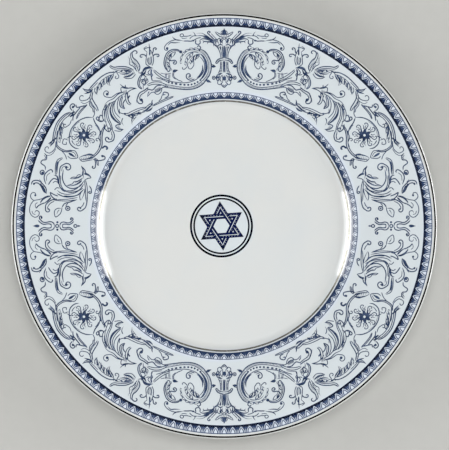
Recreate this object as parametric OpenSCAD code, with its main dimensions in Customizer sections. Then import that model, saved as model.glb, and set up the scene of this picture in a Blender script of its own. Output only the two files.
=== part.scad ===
// Salad plate with a printed rim: a fired clay body on a foot ring, a clear glaze in three coats,
// two egg borders, scrollwork on the rim, two metal lines and a woven star badge in the well.
// The origin is the middle of the foot's resting plane, +Z is up and +Y is the top of the design.

/* [Plate] */
// Diameter across the glazed lip
plate_d = 216; // [208:1:230]
// Height of the glazed lip above the table
plate_h = 19; // [17:0.5:23]
// Width of the rim, from the lip's outside to the corner where it turns down into the well
rim_w = 42; // [39:0.5:45]
// Height of the lip's edge, from the rim's face to its back
lip_edge = 3.2; // [2.8:0.1:4]
// Rounding of the upper edge of the lip
lip_r = 1; // [0.8:0.1:1.7]
// Rounding of the lower edge of the lip
lip_under_r = 1.2; // [0.6:0.1:1.6]

/* [Well] */
// Drop from the corner of the well to its floor
well_depth = 3.6; // [2.8:0.1:4.4]
// Slope of the well's wall, in degrees
wall_angle = 40; // [32:1:48]
// Rounding of the corner at the top of the wall
shoulder_r = 7; // [4:0.5:9]
// Rounding of the corner at the bottom of the wall
cavetto_r = 5; // [3:0.5:7]
// Thickness of the floor of the well, with its glaze
floor_t = 4; // [3.2:0.1:5]

/* [Foot] */
// Distance of the foot ring's resting edge inside the corner of the well
foot_set = 5.2; // [3.6:0.1:7.6]
// Width of the foot ring's resting edge
foot_w = 3.2; // [2.4:0.1:4.5]
// Height of the recess inside the foot ring
foot_h = 2.4; // [2:0.1:3]
// Slope of the foot ring's inner wall, as the run over the recess's height
foot_draft = 1; // [0.4:0.1:2]
// Run of the foot ring's outer wall from its resting edge to the back of the rim
heel_run = 1.7; // [1:0.1:2.5]
// Height of the top of that wall above the recess
heel_rise = 1; // [0.6:0.1:1.6]
// Rounding where the back of the rim meets the foot ring
heel_r = 5; // [2:0.5:6]
// Rounding of the edges of the foot ring
foot_r = 0.8; // [0.5:0.1:1]
// Rounding inside the recess
recess_r = 1.2; // [0.6:0.1:1.6]

/* [Coats] */
// Thickness of the glaze
glaze_t = 0.3; // [0.2:0.05:0.4]
// Height of the dry edge of the foot, where the glaze stops
foot_bare = 0.8; // [0.6:0.1:1.2]
// Thickness of the printed and metal films
film_t = 0.15; // [0.1:0.01:0.25]

/* [Lines and borders] */
// Distance of the metal edge line from the outside of the lip
edge_line_in = 0.6; // [0.4:0.1:0.9]
// Width of the metal edge line
edge_line_w = 0.8; // [0.5:0.1:1]
// Distance of the outer border from the outside of the lip
outer_border_in = 2.4; // [2:0.1:3]
// Width of the outer row of eggs
outer_border_w = 3; // [2.6:0.1:3.6]
// Eggs in the outer row
outer_eggs = 150; // [130:2:160]
// Width of the dark stripe under the outer row
outer_stripe_w = 1.3; // [0.8:0.1:1.8]
// Distance of the inner border's outer edge from the corner of the well
inner_border_out = 2.6; // [2.2:0.1:3.2]
// Width of the inner row of eggs
inner_border_w = 2.4; // [2:0.1:2.8]
// Eggs in the inner row
inner_eggs = 96; // [80:2:104]
// Width of the dark stripe under the inner row
inner_stripe_w = 1.2; // [0.8:0.1:1.5]
// Distance of the metal verge line from the corner of the well
verge_line_in = 1.7; // [1.5:0.1:2.2]
// Width of the metal verge line
verge_line_w = 0.8; // [0.5:0.1:1]
// Bare gap between neighbouring prints
print_gap = 0.1; // [0.05:0.05:0.3]
// Bare band between the borders and the scrollwork
field_gap = 0.5; // [0.3:0.1:1]

/* [Scrollwork] */
// Angle from the upright axis to the ring scrolls
ring_scroll_angle = 12.8; // [12.4:0.1:13.2]
// Angle from the upright axis to the clasps
clasp_angle = 25.6; // [25.2:0.1:26]
// Angle from the upright axis to the long outer leaves
acanthus_angle = 39; // [38:0.5:40]
// Angle from the upright axis to the leaf plumes
plume_angle = 39; // [38:0.5:40]
// Angle from the upright axis to the leafy stems
tendril_angle = 32.5; // [32:0.5:33]
// Angle from the upright axis to the rosettes
rosette_angle = 57; // [56.5:0.1:57.5]
// Angle from the upright axis to the side plumes
side_plume_angle = 75; // [74:0.5:76]

/* [Badge] */
// Distance of the badge's middle to the left of the plate's middle
badge_off = 1.4; // [0:0.1:3]
// Turn of the badge to the left, in degrees
badge_turn = 4; // [0:0.5:10]
// Radius of the middle of the outer ring
badge_ring_r = 15.6; // [15:0.1:18]
// Width of the outer ring
badge_ring_w = 0.9; // [0.5:0.1:1.2]
// Radius of the middle of the inner ring
badge_inner_r = 14; // [13.2:0.1:14.3]
// Width of the inner ring
badge_inner_w = 0.7; // [0.4:0.1:1]
// Distance of the star's points from its middle
star_r = 12.3; // [10:0.1:12.8]
// Width of the star's bands
star_band_w = 2.4; // [1.6:0.1:2.6]
// Bare gap on either side of a band that passes over
star_gap = 0.3; // [0.2:0.05:0.5]

/* [Hidden] */
$fn = 96;

// Straight pieces in each rounded corner of the outline
arc_steps = 10;
// Room past the plate for the shapes that cut it
clear = 1;
// Printed edge left on either side of the eggs
egg_edge = 0.35;

clay = [0.88, 0.86, 0.82];
glaze = [0.86, 0.87, 0.87];
ink = [0.24, 0.3, 0.44];
dark_ink = [0.12, 0.17, 0.26];
gilt = [0.36, 0.3, 0.18];

// Corners of the glazed outline
floor_z = foot_h + floor_t;
lip_out = plate_d / 2;
verge_r = lip_out - rim_w;
verge_z = floor_z + well_depth;
wall_run = well_depth / tan(wall_angle);
lip_centre = [lip_out - lip_r, plate_h - lip_r];
lip_reach = lip_centre - [verge_r, verge_z];
rim_angle = atan2(lip_reach.y, lip_reach.x) + asin(lip_r / norm(lip_reach));
lip_top_z = verge_z + (lip_out - verge_r) * tan(rim_angle);
lip_low_z = lip_top_z - lip_edge;
foot_out = verge_r - foot_set;
foot_in = foot_out - foot_w;
heel = [foot_out + heel_run, foot_h + heel_rise];
top_z = lip_top_z + clear;

corners = [
    [0, floor_z],
    [verge_r - wall_run, floor_z],
    [verge_r, verge_z],
    [lip_out, lip_top_z],
    [lip_out, lip_low_z],
    heel,
    [foot_out, 0],
    [foot_in, 0],
    [foot_in - foot_draft, foot_h],
    [0, foot_h]
];
rounding = [0, cavetto_r, shoulder_r, lip_r, lip_under_r, heel_r, foot_r, foot_r, recess_r, 0];
// Share of a coat's thickness on the edge after each corner: the foot's resting edge has none
coated = [1, 1, 1, 1, 1, 1, 0, 1, 1];
last = len(corners) - 1;

// Radii of the bands on the face
edge_line_out = lip_out - edge_line_in;
outer_border_out = lip_out - outer_border_in;
outer_stripe_out = outer_border_out - outer_border_w - print_gap;
field_out = outer_stripe_out - outer_stripe_w - field_gap;
inner_border_edge = verge_r + inner_border_out;
inner_stripe_out = inner_border_edge - inner_border_w - print_gap;
verge_line_out = verge_r - verge_line_in;
field_in = inner_border_edge + field_gap;
field_mid = (field_out + field_in) / 2;

// The scrollwork is drawn on rows across the field. One row also fits along the rim.
row_count = 16;
middle_row_count = 42.5;
row = min((field_out - field_in) / row_count, field_mid / middle_row_count);

function unit(v) = v / norm(v);
function left_of(d) = [-d.y, d.x];
function edge_dir(i) = unit(corners[i + 1] - corners[i]);
function edge_shift(i, grow) = left_of(edge_dir(i)) * grow * coated[i];

// Point where the line from p along d meets the line from q along e
function meeting(p, d, q, e) = p + d * cross(q - p, e) / cross(d, e);

// Corner i of the outline moved outwards by grow
function grown_corner(i, grow) =
    i == 0 ? corners[0] + edge_shift(0, grow) :
    i == last ? corners[last] + edge_shift(last - 1, grow) :
    meeting(
        corners[i] + edge_shift(i - 1, grow), edge_dir(i - 1),
        corners[i] + edge_shift(i, grow), edge_dir(i)
    );

function turned(v, a) = [v.x * cos(a) - v.y * sin(a), v.x * sin(a) + v.y * cos(a)];

// Arc that rounds the corner p with radius r, between the directions d and e
function round_corner(p, d, e, r) =
    let (
        side = sign(cross(d, e)),
        turn = acos(d * e),
        start = p - d * r * tan(turn / 2),
        centre = start + left_of(d) * side * r
    )
    [for (k = [0 : arc_steps]) centre + turned(start - centre, side * turn * k / arc_steps)];

// Outward corners gain the coat's thickness in their radius, and inward corners lose it
function grown_radius(i, grow) =
    rounding[i] - sign(cross(edge_dir(i - 1), edge_dir(i))) * grow;

function outline(grow) = [
    grown_corner(0, grow),
    for (i = [1 : last - 1])
        each round_corner(grown_corner(i, grow), edge_dir(i - 1), edge_dir(i), grown_radius(i, grow)),
    grown_corner(last, grow)
];

// Half section of the layer between two offsets of the outline
module layer_section(inner, outer) {
    difference() {
        polygon(outline(outer));
        polygon(outline(inner));
    }
}

// Everything on the face's side of a line through the middle of the clay
module face_side() {
    polygon([
        [0, (floor_z + foot_h) / 2],
        [heel.x, (floor_z + heel.y) / 2],
        [verge_r, (verge_z + heel.y) / 2],
        [lip_out + clear, (lip_top_z + lip_low_z) / 2],
        [lip_out + clear, top_z],
        [0, top_z]
    ]);
}

// Upright strip of the half section, from one radius to another
module strip(r_in, r_out, z_from) {
    translate([r_in, z_from])
        square([r_out - r_in, top_z - z_from]);
}

// Film on the face, from one radius to another
module ring_film(r_in, r_out) {
    rotate_extrude()
        intersection() {
            layer_section(0, film_t);
            face_side();
            strip(r_in, r_out, 0);
        }
}

// Film in the shape of a flat design, on the field of the rim
module field_film() {
    intersection() {
        ring_film(field_in, field_out);
        linear_extrude(top_z)
            children();
    }
}

// Film in the shape of a flat design, on the floor of the well at the badge
module badge_film() {
    translate([-badge_off, 0, floor_z])
        rotate(badge_turn)
            linear_extrude(film_t)
                children();
}

module glaze_coat() {
    color(glaze)
        rotate_extrude()
            intersection() {
                layer_section(-glaze_t, 0);
                children();
            }
}

// One white egg of a border: round towards the lip, with its point towards the middle
module egg(width) {
    circle(d = width);
    rotate(180)
        rotate(45)
            square(width / 2);
}

// Row of eggs left bare in a printed band
module egg_border(r_in, r_out, count) {
    egg_h = r_out - r_in - 2 * egg_edge;
    egg_w = egg_h / (0.5 + sqrt(0.5));
    difference() {
        ring_film(r_in, r_out);
        for (i = [0 : count - 1])
            rotate(i * 360 / count)
                translate([r_out - egg_edge - egg_w / 2, 0])
                    linear_extrude(top_z)
                        rotate(-90)
                            egg(egg_w);
    }
}

// A quarter's design, on all four quarters
module four_quarters() {
    for (side = [0, 1], end = [0, 1])
        mirror([side, 0])
            mirror([0, end])
                children();
}

// Puts a design on the rim: its +Y points to the lip and its +X runs along the rim
module on_rim(angle, up = 0) {
    rotate(-angle)
        translate([0, field_mid + up * row])
            children();
}

// Pointed leaf that grows along +Y, in rows
module leaf(span, width) {
    bow = (span * span + width * width) / (4 * width);
    scale(row)
        translate([0, span / 2])
            intersection() {
                translate([bow - width / 2, 0])
                    circle(bow);
                translate([width / 2 - bow, 0])
                    circle(bow);
            }
}

// Circle over a chord along +X, with the given rise
module bow_circle(span, rise) {
    bow = (span * span / 4 + rise * rise) / (2 * rise);
    translate([span / 2, rise - bow])
        circle(bow);
}

// Curved leaf along +X that bulges towards +Y, in rows
module crescent(span, rise, width) {
    scale(row)
        difference() {
            bow_circle(span, rise + width / 2);
            bow_circle(span, rise - width / 2);
        }
}

module ring(r_out, width) {
    difference() {
        circle(r_out * row);
        circle((r_out - width) * row);
    }
}

module bead(r) {
    circle(r * row);
}

// Moves a design by rows and turns it
module set_at(x, y, turn = 0) {
    translate([x * row, y * row])
        rotate(turn)
            children();
}

module plate_body() {
    color(clay)
        rotate_extrude()
            polygon(outline(-glaze_t));
}

module face_glaze() {
    glaze_coat()
        face_side();
}

module back_glaze() {
    glaze_coat()
        difference() {
            strip((foot_in + foot_out) / 2, lip_out + clear, foot_bare);
            face_side();
        }
}

module recess_glaze() {
    glaze_coat()
        difference() {
            strip(0, (foot_in + foot_out) / 2, foot_bare);
            face_side();
        }
}

module edge_line() {
    color(gilt)
        ring_film(edge_line_out - edge_line_w, edge_line_out);
}

module outer_border() {
    color(ink)
        egg_border(outer_border_out - outer_border_w, outer_border_out, outer_eggs);
}

module outer_stripe() {
    color(dark_ink)
        ring_film(outer_stripe_out - outer_stripe_w, outer_stripe_out);
}

module inner_border() {
    color(ink)
        egg_border(inner_border_edge - inner_border_w, inner_border_edge, inner_eggs);
}

module inner_stripe() {
    color(dark_ink)
        ring_film(inner_stripe_out - inner_stripe_w, inner_stripe_out);
}

module verge_line() {
    color(gilt)
        ring_film(verge_line_out - verge_line_w, verge_line_out);
}

// Torch with a leafy foot, a collar and a spread of leaves towards the lip
module palmette() {
    stem_w = 1;
    head_up = 3.4;
    foot_up = -4.6;
    knob_r = 1.3;
    collar = [3.2, 0.6];
    set_at(-stem_w / 2, foot_up)
        square([stem_w, head_up - foot_up] * row);
    set_at(-collar.x / 2, -collar.y / 2)
        square(collar * row);
    set_at(0, foot_up)
        bead(knob_r);
    for (turn = [-75, -40, 0, 40, 75])
        set_at(0, head_up, turn)
            leaf(span = 3.9, width = 1.3);
    for (turn = [120, 180, 240])
        set_at(0, foot_up, turn)
            leaf(span = 2.6, width = 1);
}

// Leaf that spreads from the torch along the outer side of the rim
module palmette_wing() {
    wing_angle = 10.6;
    wing_up = 5.7;
    on_rim(wing_angle, wing_up)
        fringed_leaf(span = 8.8, rise = 0.7, width = 0.7, tips = 3, tip_span = 1.3);
}

module axis_palmettes() {
    color(ink)
        field_film()
            for (end = [0, 180])
                rotate(end) {
                    on_rim(0)
                        palmette();
                    for (side = [0, 1])
                        mirror([side, 0])
                            palmette_wing();
                }
}

// Ring with a curled leaf in it and a stem that sweeps up to the clasp
module ring_scroll() {
    ring_r = 5.3;
    stem_w = 0.8;
    stem_end = [8, 3];
    curl_root = [-3.4, 3.4];
    curl_tip = [3.6, 0.4];
    ring(ring_r, stem_w);
    set_at(curl_root.x, curl_root.y, -25)
        crescent(span = 5.4, rise = 1, width = stem_w);
    set_at(curl_tip.x, curl_tip.y, 150)
        crescent(span = 4.4, rise = 1.2, width = stem_w);
    bead(stem_w);
    set_at(stem_end.x, stem_end.y, -128)
        crescent(span = 10, rise = 2.3, width = stem_w);
}

module ring_scrolls() {
    ring_up = -1.2;
    color(ink)
        field_film()
            four_quarters()
                on_rim(ring_scroll_angle, ring_up)
                    ring_scroll();
}

// Three-leaved fleuron towards the lip, beside a tall leaf
module clasp() {
    fleuron_root = [-1.6, 3.6];
    tall_root = [1.1, 0.6];
    for (turn = [-50, 0, 50])
        set_at(fleuron_root.x, fleuron_root.y, turn)
            leaf(span = 2.6, width = 1.1);
    set_at(fleuron_root.x, fleuron_root.y)
        bead(0.6);
    set_at(tall_root.x, tall_root.y, -12)
        leaf(span = 5.4, width = 1.2);
    set_at(tall_root.x, tall_root.y, 70)
        leaf(span = 2.3, width = 0.9);
}

module clasps() {
    color(ink)
        field_film()
            four_quarters()
                on_rim(clasp_angle)
                    clasp();
}

// Curved leaf along the rim with tips that hang from it
module fringed_leaf(span, rise, width, tips, tip_span) {
    set_at(-span / 2, 0)
        crescent(span, rise, width);
    pitch = span / (tips + 1);
    tip_turn = 200;
    for (k = [1 : tips]) {
        x = k * pitch - span / 2;
        set_at(x, rise * (1 - pow(2 * x / span, 2)), tip_turn)
            leaf(tip_span, width = tip_span / 3);
    }
}

module outer_acanthus() {
    leaf_up = 5;
    color(ink)
        field_film()
            four_quarters()
                on_rim(acanthus_angle, leaf_up)
                    fringed_leaf(span = 12.6, rise = 1.6, width = 1.2, tips = 5, tip_span = 2.4);
}

// Plume of curved leaves that grow side by side from one root, each shorter than the last
module plume(root, count, first_turn, step_turn, span) {
    rise = 1.3;
    width = 0.9;
    shorter = 0.7;
    for (k = [0 : count - 1])
        set_at(root.x, root.y, first_turn + step_turn * k)
            crescent(span - shorter * k, rise, width);
    set_at(root.x, root.y)
        bead(width);
}

module acanthus_plumes() {
    color(ink)
        field_film()
            four_quarters()
                on_rim(plume_angle)
                    plume([5.4, -6.4], count = 5, first_turn = 142, step_turn = -13, span = 10.4);
}

module tendrils() {
    stem_up = -6.3;
    color(ink)
        field_film()
            four_quarters()
                on_rim(tendril_angle, stem_up)
                    mirror([0, 1])
                        fringed_leaf(span = 10, rise = 0.9, width = 0.7, tips = 4, tip_span = 1.8);
}

// Flower with twelve petals in a ring of stem
module rosette() {
    petals = 12;
    ring(r_out = 4.1, width = 0.5);
    for (k = [0 : petals - 1])
        set_at(0, 0, k * 360 / petals)
            leaf(span = 2.9, width = 0.9);
    bead(0.8);
}

module rosettes() {
    color(ink)
        field_film()
            four_quarters()
                on_rim(rosette_angle)
                    rosette();
}

// Leaves over and under a rosette, and one that hangs on its far side
module rosette_leaf() {
    over_up = 5;
    under_up = -5;
    far = [5.6, 4.2];
    set_at(0, over_up)
        fringed_leaf(span = 11, rise = 1, width = 0.9, tips = 4, tip_span = 1.5);
    set_at(far.x, far.y, 190)
        leaf(span = 4.2, width = 0.9);
    set_at(0, under_up)
        mirror([0, 1])
            fringed_leaf(span = 7.4, rise = 1.2, width = 0.7, tips = 2, tip_span = 1.1);
}

module rosette_leaves() {
    color(ink)
        field_film()
            four_quarters()
                on_rim(rosette_angle)
                    rosette_leaf();
}

module side_plumes() {
    color(ink)
        field_film()
            four_quarters()
                on_rim(side_plume_angle)
                    plume([-3.6, -5.6], count = 6, first_turn = 84, step_turn = -13, span = 12.4);
}

// Two lilies joined by a row of beads
module fleuron() {
    lily_up = 1.7;
    bead_r = 0.45;
    bead_pitch = 1.2;
    for (end = [0, 180])
        set_at(0, 0, end) {
            set_at(0, lily_up)
                leaf(span = 4.6, width = 1);
            set_at(0, lily_up)
                bead(bead_r);
            for (side = [0, 1])
                mirror([side, 0])
                    set_at(0, lily_up, 64)
                        mirror([0, 1])
                            crescent(span = 3.6, rise = 0.8, width = 0.7);
        }
    for (k = [-1 : 1])
        set_at(bead_pitch * k, 0)
            bead(bead_r);
}

module side_fleurons() {
    color(ink)
        field_film()
            for (side = [90, -90])
                on_rim(side)
                    fleuron();
}

module badge_ring(r, width) {
    difference() {
        circle(r + width / 2);
        circle(r - width / 2);
    }
}

module badge_outer_ring() {
    color(dark_ink)
        badge_film()
            badge_ring(badge_ring_r, badge_ring_w);
}

module badge_inner_ring() {
    color(dark_ink)
        badge_film()
            badge_ring(badge_inner_r, badge_inner_w);
}

module triangle(r) {
    polygon([for (a = [90, 210, 330]) r * [cos(a), sin(a)]]);
}

// Triangle of the star, broken where the other triangle's band passes over it
module star_triangle() {
    crossing_r = (star_r - star_band_w) / 2 / cos(30);
    cut = [2 * (star_band_w + star_gap), star_band_w + 2 * star_gap];
    difference() {
        triangle(star_r);
        triangle(star_r - 2 * star_band_w);
        for (a = [0, 120, 240])
            rotate(a)
                translate([crossing_r, 0])
                    rotate(60)
                        square(cut, center = true);
    }
}

module star_upright() {
    color(ink)
        badge_film()
            star_triangle();
}

module star_inverted() {
    color(ink)
        badge_film()
            rotate(60)
                star_triangle();
}

plate_body();
face_glaze();
back_glaze();
recess_glaze();
edge_line();
outer_border();
outer_stripe();
axis_palmettes();
ring_scrolls();
clasps();
outer_acanthus();
acanthus_plumes();
tendrils();
rosettes();
rosette_leaves();
side_plumes();
side_fleurons();
inner_border();
inner_stripe();
verge_line();
badge_outer_ring();
badge_inner_ring();
star_upright();
star_inverted();
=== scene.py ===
"""Dresses the printed salad plate: its clay, glaze, metal lines, borders, scrollwork and badge.

Every piece stands for one node of the solid model and keeps to its frame: metres, the origin in
the middle of the foot's resting plane, +Z up and +Y to the top of the design.
"""

import cmath
import logging
import math
from dataclasses import dataclass, field
from enum import Enum
from typing import ClassVar, Iterable, List, Sequence, Tuple

import bmesh
import bpy
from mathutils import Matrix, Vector


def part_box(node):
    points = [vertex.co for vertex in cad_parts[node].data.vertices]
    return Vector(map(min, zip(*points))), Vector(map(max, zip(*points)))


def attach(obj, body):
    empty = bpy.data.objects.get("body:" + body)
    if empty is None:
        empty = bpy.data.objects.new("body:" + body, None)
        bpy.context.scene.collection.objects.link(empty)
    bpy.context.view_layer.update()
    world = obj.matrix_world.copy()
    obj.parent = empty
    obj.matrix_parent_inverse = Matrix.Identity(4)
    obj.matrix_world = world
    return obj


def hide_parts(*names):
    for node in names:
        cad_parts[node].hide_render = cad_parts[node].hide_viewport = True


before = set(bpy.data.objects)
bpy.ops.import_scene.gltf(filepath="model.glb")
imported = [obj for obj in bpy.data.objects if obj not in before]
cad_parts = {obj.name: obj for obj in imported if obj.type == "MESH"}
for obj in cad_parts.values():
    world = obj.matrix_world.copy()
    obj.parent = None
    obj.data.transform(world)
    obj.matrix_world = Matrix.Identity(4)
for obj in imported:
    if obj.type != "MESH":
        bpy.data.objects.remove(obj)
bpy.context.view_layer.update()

MM = 0.001
Spot = Tuple[float, float]
Tone = Tuple[int, int, int]
Strip = List[Tuple[Vector, Vector]]
Socket = bpy.types.NodeSocket
Material = bpy.types.Material
Piece = bpy.types.Object
log = logging.getLogger("salad_plate")


def linear(tone: Tone) -> Tuple[float, float, float, float]:
    """Shader colour of a tone that is written as it shows, from 0 to 255."""
    shares = [channel / 255 for channel in tone]
    red, green, blue = [s / 12.92 if s <= 0.04045 else ((s + 0.055) / 1.055) ** 2.4 for s in shares]
    return red, green, blue, 1.0


class Slot(Enum):
    """Material slots of the record."""

    CLAY = "clay"
    GLAZE = "glaze"
    GILT = "gilt"
    BORDER = "border_ink"
    STRIPE = "stripe_ink"
    SCROLL = "scroll_ink"
    BADGE = "badge_ink"


class Shader:
    """Node tree of one material, with the few kinds of node that the finishes share."""

    def __init__(self, name: str) -> None:
        """Makes a new material of that name with one shader in it."""
        self.material = bpy.data.materials.new(name)
        self.material.use_nodes = True
        self.nodes = self.material.node_tree.nodes
        self.links = self.material.node_tree.links
        self.surface = self.nodes["Principled BSDF"]
        self.place = self.nodes.new("ShaderNodeTexCoord").outputs["Object"]

    def set(self, **values: float) -> None:
        """Sets inputs of the surface; an underscore in a name stands for a space."""
        for name, value in values.items():
            self.surface.inputs[name.replace("_", " ")].default_value = value

    def noise(self, scale: float, detail: float = 3.0, rough: float = 0.5) -> Socket:
        """Cloudy grey over the object, with a scale in clouds per metre."""
        node = self.nodes.new("ShaderNodeTexNoise")
        node.inputs["Scale"].default_value = scale
        node.inputs["Detail"].default_value = detail
        node.inputs["Roughness"].default_value = rough
        self.links.new(self.place, node.inputs["Vector"])
        return node.outputs["Fac"]

    def ramp(self, source: Socket, stops: Sequence[Tuple[float, Tone]]) -> Socket:
        """Colours along a grey value."""
        node = self.nodes.new("ShaderNodeValToRGB")
        band = node.color_ramp.elements
        while len(band) < len(stops):
            band.new(1.0)
        for element, (at, tone) in zip(band, stops):
            element.position = at
            element.color = linear(tone)
        self.links.new(source, node.inputs["Fac"])
        return node.outputs["Color"]

    def spread(self, source: Socket, low: float, high: float, start: float,
               end: float) -> Socket:
        """Grey value moved from the range low to high onto start to end."""
        node = self.nodes.new("ShaderNodeMapRange")
        for name, value in (("From Min", low), ("From Max", high), ("To Min", start), ("To Max", end)):
            node.inputs[name].default_value = value
        self.links.new(source, node.inputs["Value"])
        return node.outputs["Result"]

    def blend(self, share: Socket, first: Socket,
              second: Socket) -> Socket:
        """Mix of two colours."""
        node = self.nodes.new("ShaderNodeMix")
        node.data_type = "RGBA"
        self.links.new(share, node.inputs["Factor"])
        self.links.new(first, node.inputs["A"])
        self.links.new(second, node.inputs["B"])
        return node.outputs["Result"]

    def radius(self) -> Socket:
        """Distance from the plate's axis, in metres."""
        flat = self.nodes.new("ShaderNodeVectorMath")
        flat.operation = "MULTIPLY"
        flat.inputs[1].default_value = (1.0, 1.0, 0.0)
        self.links.new(self.place, flat.inputs[0])
        reach = self.nodes.new("ShaderNodeVectorMath")
        reach.operation = "LENGTH"
        self.links.new(flat.outputs["Vector"], reach.inputs[0])
        return reach.outputs["Value"]

    def feed(self, name: str, source: Socket) -> None:
        """Links a source to an input of the surface."""
        self.links.new(source, self.surface.inputs[name])

    def bump(self, source: Socket, height: float) -> None:
        """Raises the surface by a grey value, with a height in metres."""
        node = self.nodes.new("ShaderNodeBump")
        node.inputs["Strength"].default_value = 1.0
        node.inputs["Distance"].default_value = height
        self.links.new(source, node.inputs["Height"])
        self.feed("Normal", node.outputs["Normal"])


@dataclass(frozen=True)
class GlazeFinish:
    """White glaze that takes up some blue beside the prints, with small specks and a waved gloss."""

    well: Tone = (222, 224, 222)
    rim: Tone = (218, 226, 230)
    tinted: Tone = (221, 230, 242)
    shade: Tone = (208, 213, 215)
    speck: Tone = (150, 150, 142)
    reach: float = 110 * MM
    index: float = 1.62
    wave: float = 0.02 * MM

    def make(self) -> Material:
        """Makes the material."""
        shader = Shader("white_glaze")
        rings = ((14 * MM, self.rim), (17 * MM, self.well), (62 * MM, self.well),
                 (66.5 * MM, self.tinted), (68.5 * MM, self.tinted), (70 * MM, self.rim),
                 (100 * MM, self.rim), (102.5 * MM, self.tinted), (105.2 * MM, self.tinted),
                 (105.8 * MM, self.well))
        place = shader.spread(shader.radius(), 0.0, self.reach, 0.0, 1.0)
        ground = shader.ramp(place, [(at / self.reach, tone) for at, tone in rings])
        clouds = shader.spread(shader.noise(42.0, detail=4.0), 0.42, 0.78, 0.0, 0.5)
        cloud_tone = shader.ramp(shader.noise(9.0), [(0.0, self.shade), (1.0, self.rim)])
        clouded = shader.blend(clouds, ground, cloud_tone)
        specks = shader.spread(shader.noise(900.0, detail=2.0), 0.77, 0.83, 0.0, 0.5)
        speck_tone = shader.ramp(shader.noise(300.0), [(0.0, self.speck), (1.0, self.shade)])
        shader.feed("Base Color", shader.blend(specks, clouded, speck_tone))
        shader.feed("Roughness", shader.spread(shader.noise(70.0), 0.3, 0.7, 0.05, 0.11))
        shader.bump(shader.noise(55.0, detail=2.0), self.wave)
        shader.set(IOR=self.index, Coat_Weight=1.0, Coat_Roughness=0.05, Coat_IOR=self.index)
        return shader.material


@dataclass(frozen=True)
class InkFinish:
    """Printed ink under the gloss, with its tone from ring to ring of the plate, and thinner in places."""

    name: str
    rings: Tuple[Tuple[float, Tone], ...]
    thin: Tone
    grain: float
    gloss: float = 1.0
    index: float = 1.62
    reach: float = 110 * MM

    def make(self) -> Material:
        """Makes the material."""
        shader = Shader(self.name)
        place = shader.spread(shader.radius(), 0.0, self.reach, 0.0, 1.0)
        full = shader.ramp(place, [(at / self.reach, tone) for at, tone in self.rings])
        wear = shader.noise(self.grain, detail=5.0, rough=0.65)
        paler = shader.ramp(wear, [(0.0, self.rings[-1][1]), (0.6, self.thin)])
        shader.feed("Base Color", shader.blend(shader.spread(wear, 0.48, 0.72, 0.0, 0.9), full, paler))
        shader.feed("Roughness", shader.spread(shader.noise(400.0), 0.3, 0.7, 0.08, 0.16))
        shader.set(IOR=self.index, Coat_Weight=self.gloss, Coat_Roughness=0.05, Coat_IOR=self.index)
        return shader.material


@dataclass(frozen=True)
class GiltFinish:
    """Burnished metal line, worn thin in places, with painted shade that turns the same metal darker
    towards the lip.
    """

    bright: Tone = (176, 174, 164)
    worn: Tone = (124, 123, 114)
    # Painted shade: dusk and dark are the same metal, darkened for the line at the lip.
    dusk: Tone = (38, 35, 29)
    dark: Tone = (21, 19, 16)
    painted_shade_from: float = 70 * MM
    painted_shade_to: float = 104 * MM

    def make(self) -> Material:
        """Makes the material."""
        shader = Shader("burnished_line")
        wear = shader.spread(shader.noise(260.0, detail=4.0), 0.32, 0.7, 0.0, 1.0)
        # Painted shade: share of the darker lip tones, growing from the rim's middle out to the lip.
        lip = shader.spread(shader.radius(), self.painted_shade_from, self.painted_shade_to, 0.0, 1.0)
        well_tone = shader.ramp(wear, [(0.0, self.bright), (1.0, self.worn)])
        lip_painted_shade_tone = shader.ramp(wear, [(0.0, self.dusk), (1.0, self.dark)])
        shader.feed("Base Color", shader.blend(lip, well_tone, lip_painted_shade_tone))
        shader.feed("Roughness", shader.spread(shader.noise(500.0), 0.3, 0.7, 0.16, 0.3))
        shader.set(Metallic=0.6, Specular_IOR_Level=0.2)
        return shader.material


@dataclass(frozen=True)
class ClayFinish:
    """Dry fired clay, with grain and a little table wear."""

    pale: Tone = (226, 219, 205)
    dusk: Tone = (196, 184, 164)
    grain: float = 0.02 * MM

    def make(self) -> Material:
        """Makes the material."""
        shader = Shader("fired_clay")
        stain = shader.spread(shader.noise(120.0, detail=5.0, rough=0.6), 0.35, 0.75, 0.0, 1.0)
        shader.feed("Base Color", shader.ramp(stain, [(0.0, self.pale), (1.0, self.dusk)]))
        shader.feed("Roughness", shader.spread(shader.noise(600.0), 0.3, 0.7, 0.7, 0.9))
        shader.bump(shader.noise(2500.0, detail=2.0), self.grain)
        return shader.material


@dataclass(frozen=True)
class FloorFinish:
    """Plain pale grey paper."""

    pale: Tone = (190, 190, 186)
    deep: Tone = (188, 188, 184)

    def make(self) -> Material:
        """Makes the material."""
        shader = Shader("grey_paper")
        fibre = shader.spread(shader.noise(150.0, detail=4.0), 0.35, 0.7, 0.0, 1.0)
        shader.feed("Base Color", shader.ramp(fibre, [(0.0, self.pale), (1.0, self.deep)]))
        shader.set(Roughness=0.95, Specular_IOR_Level=0.1)
        return shader.material


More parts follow.
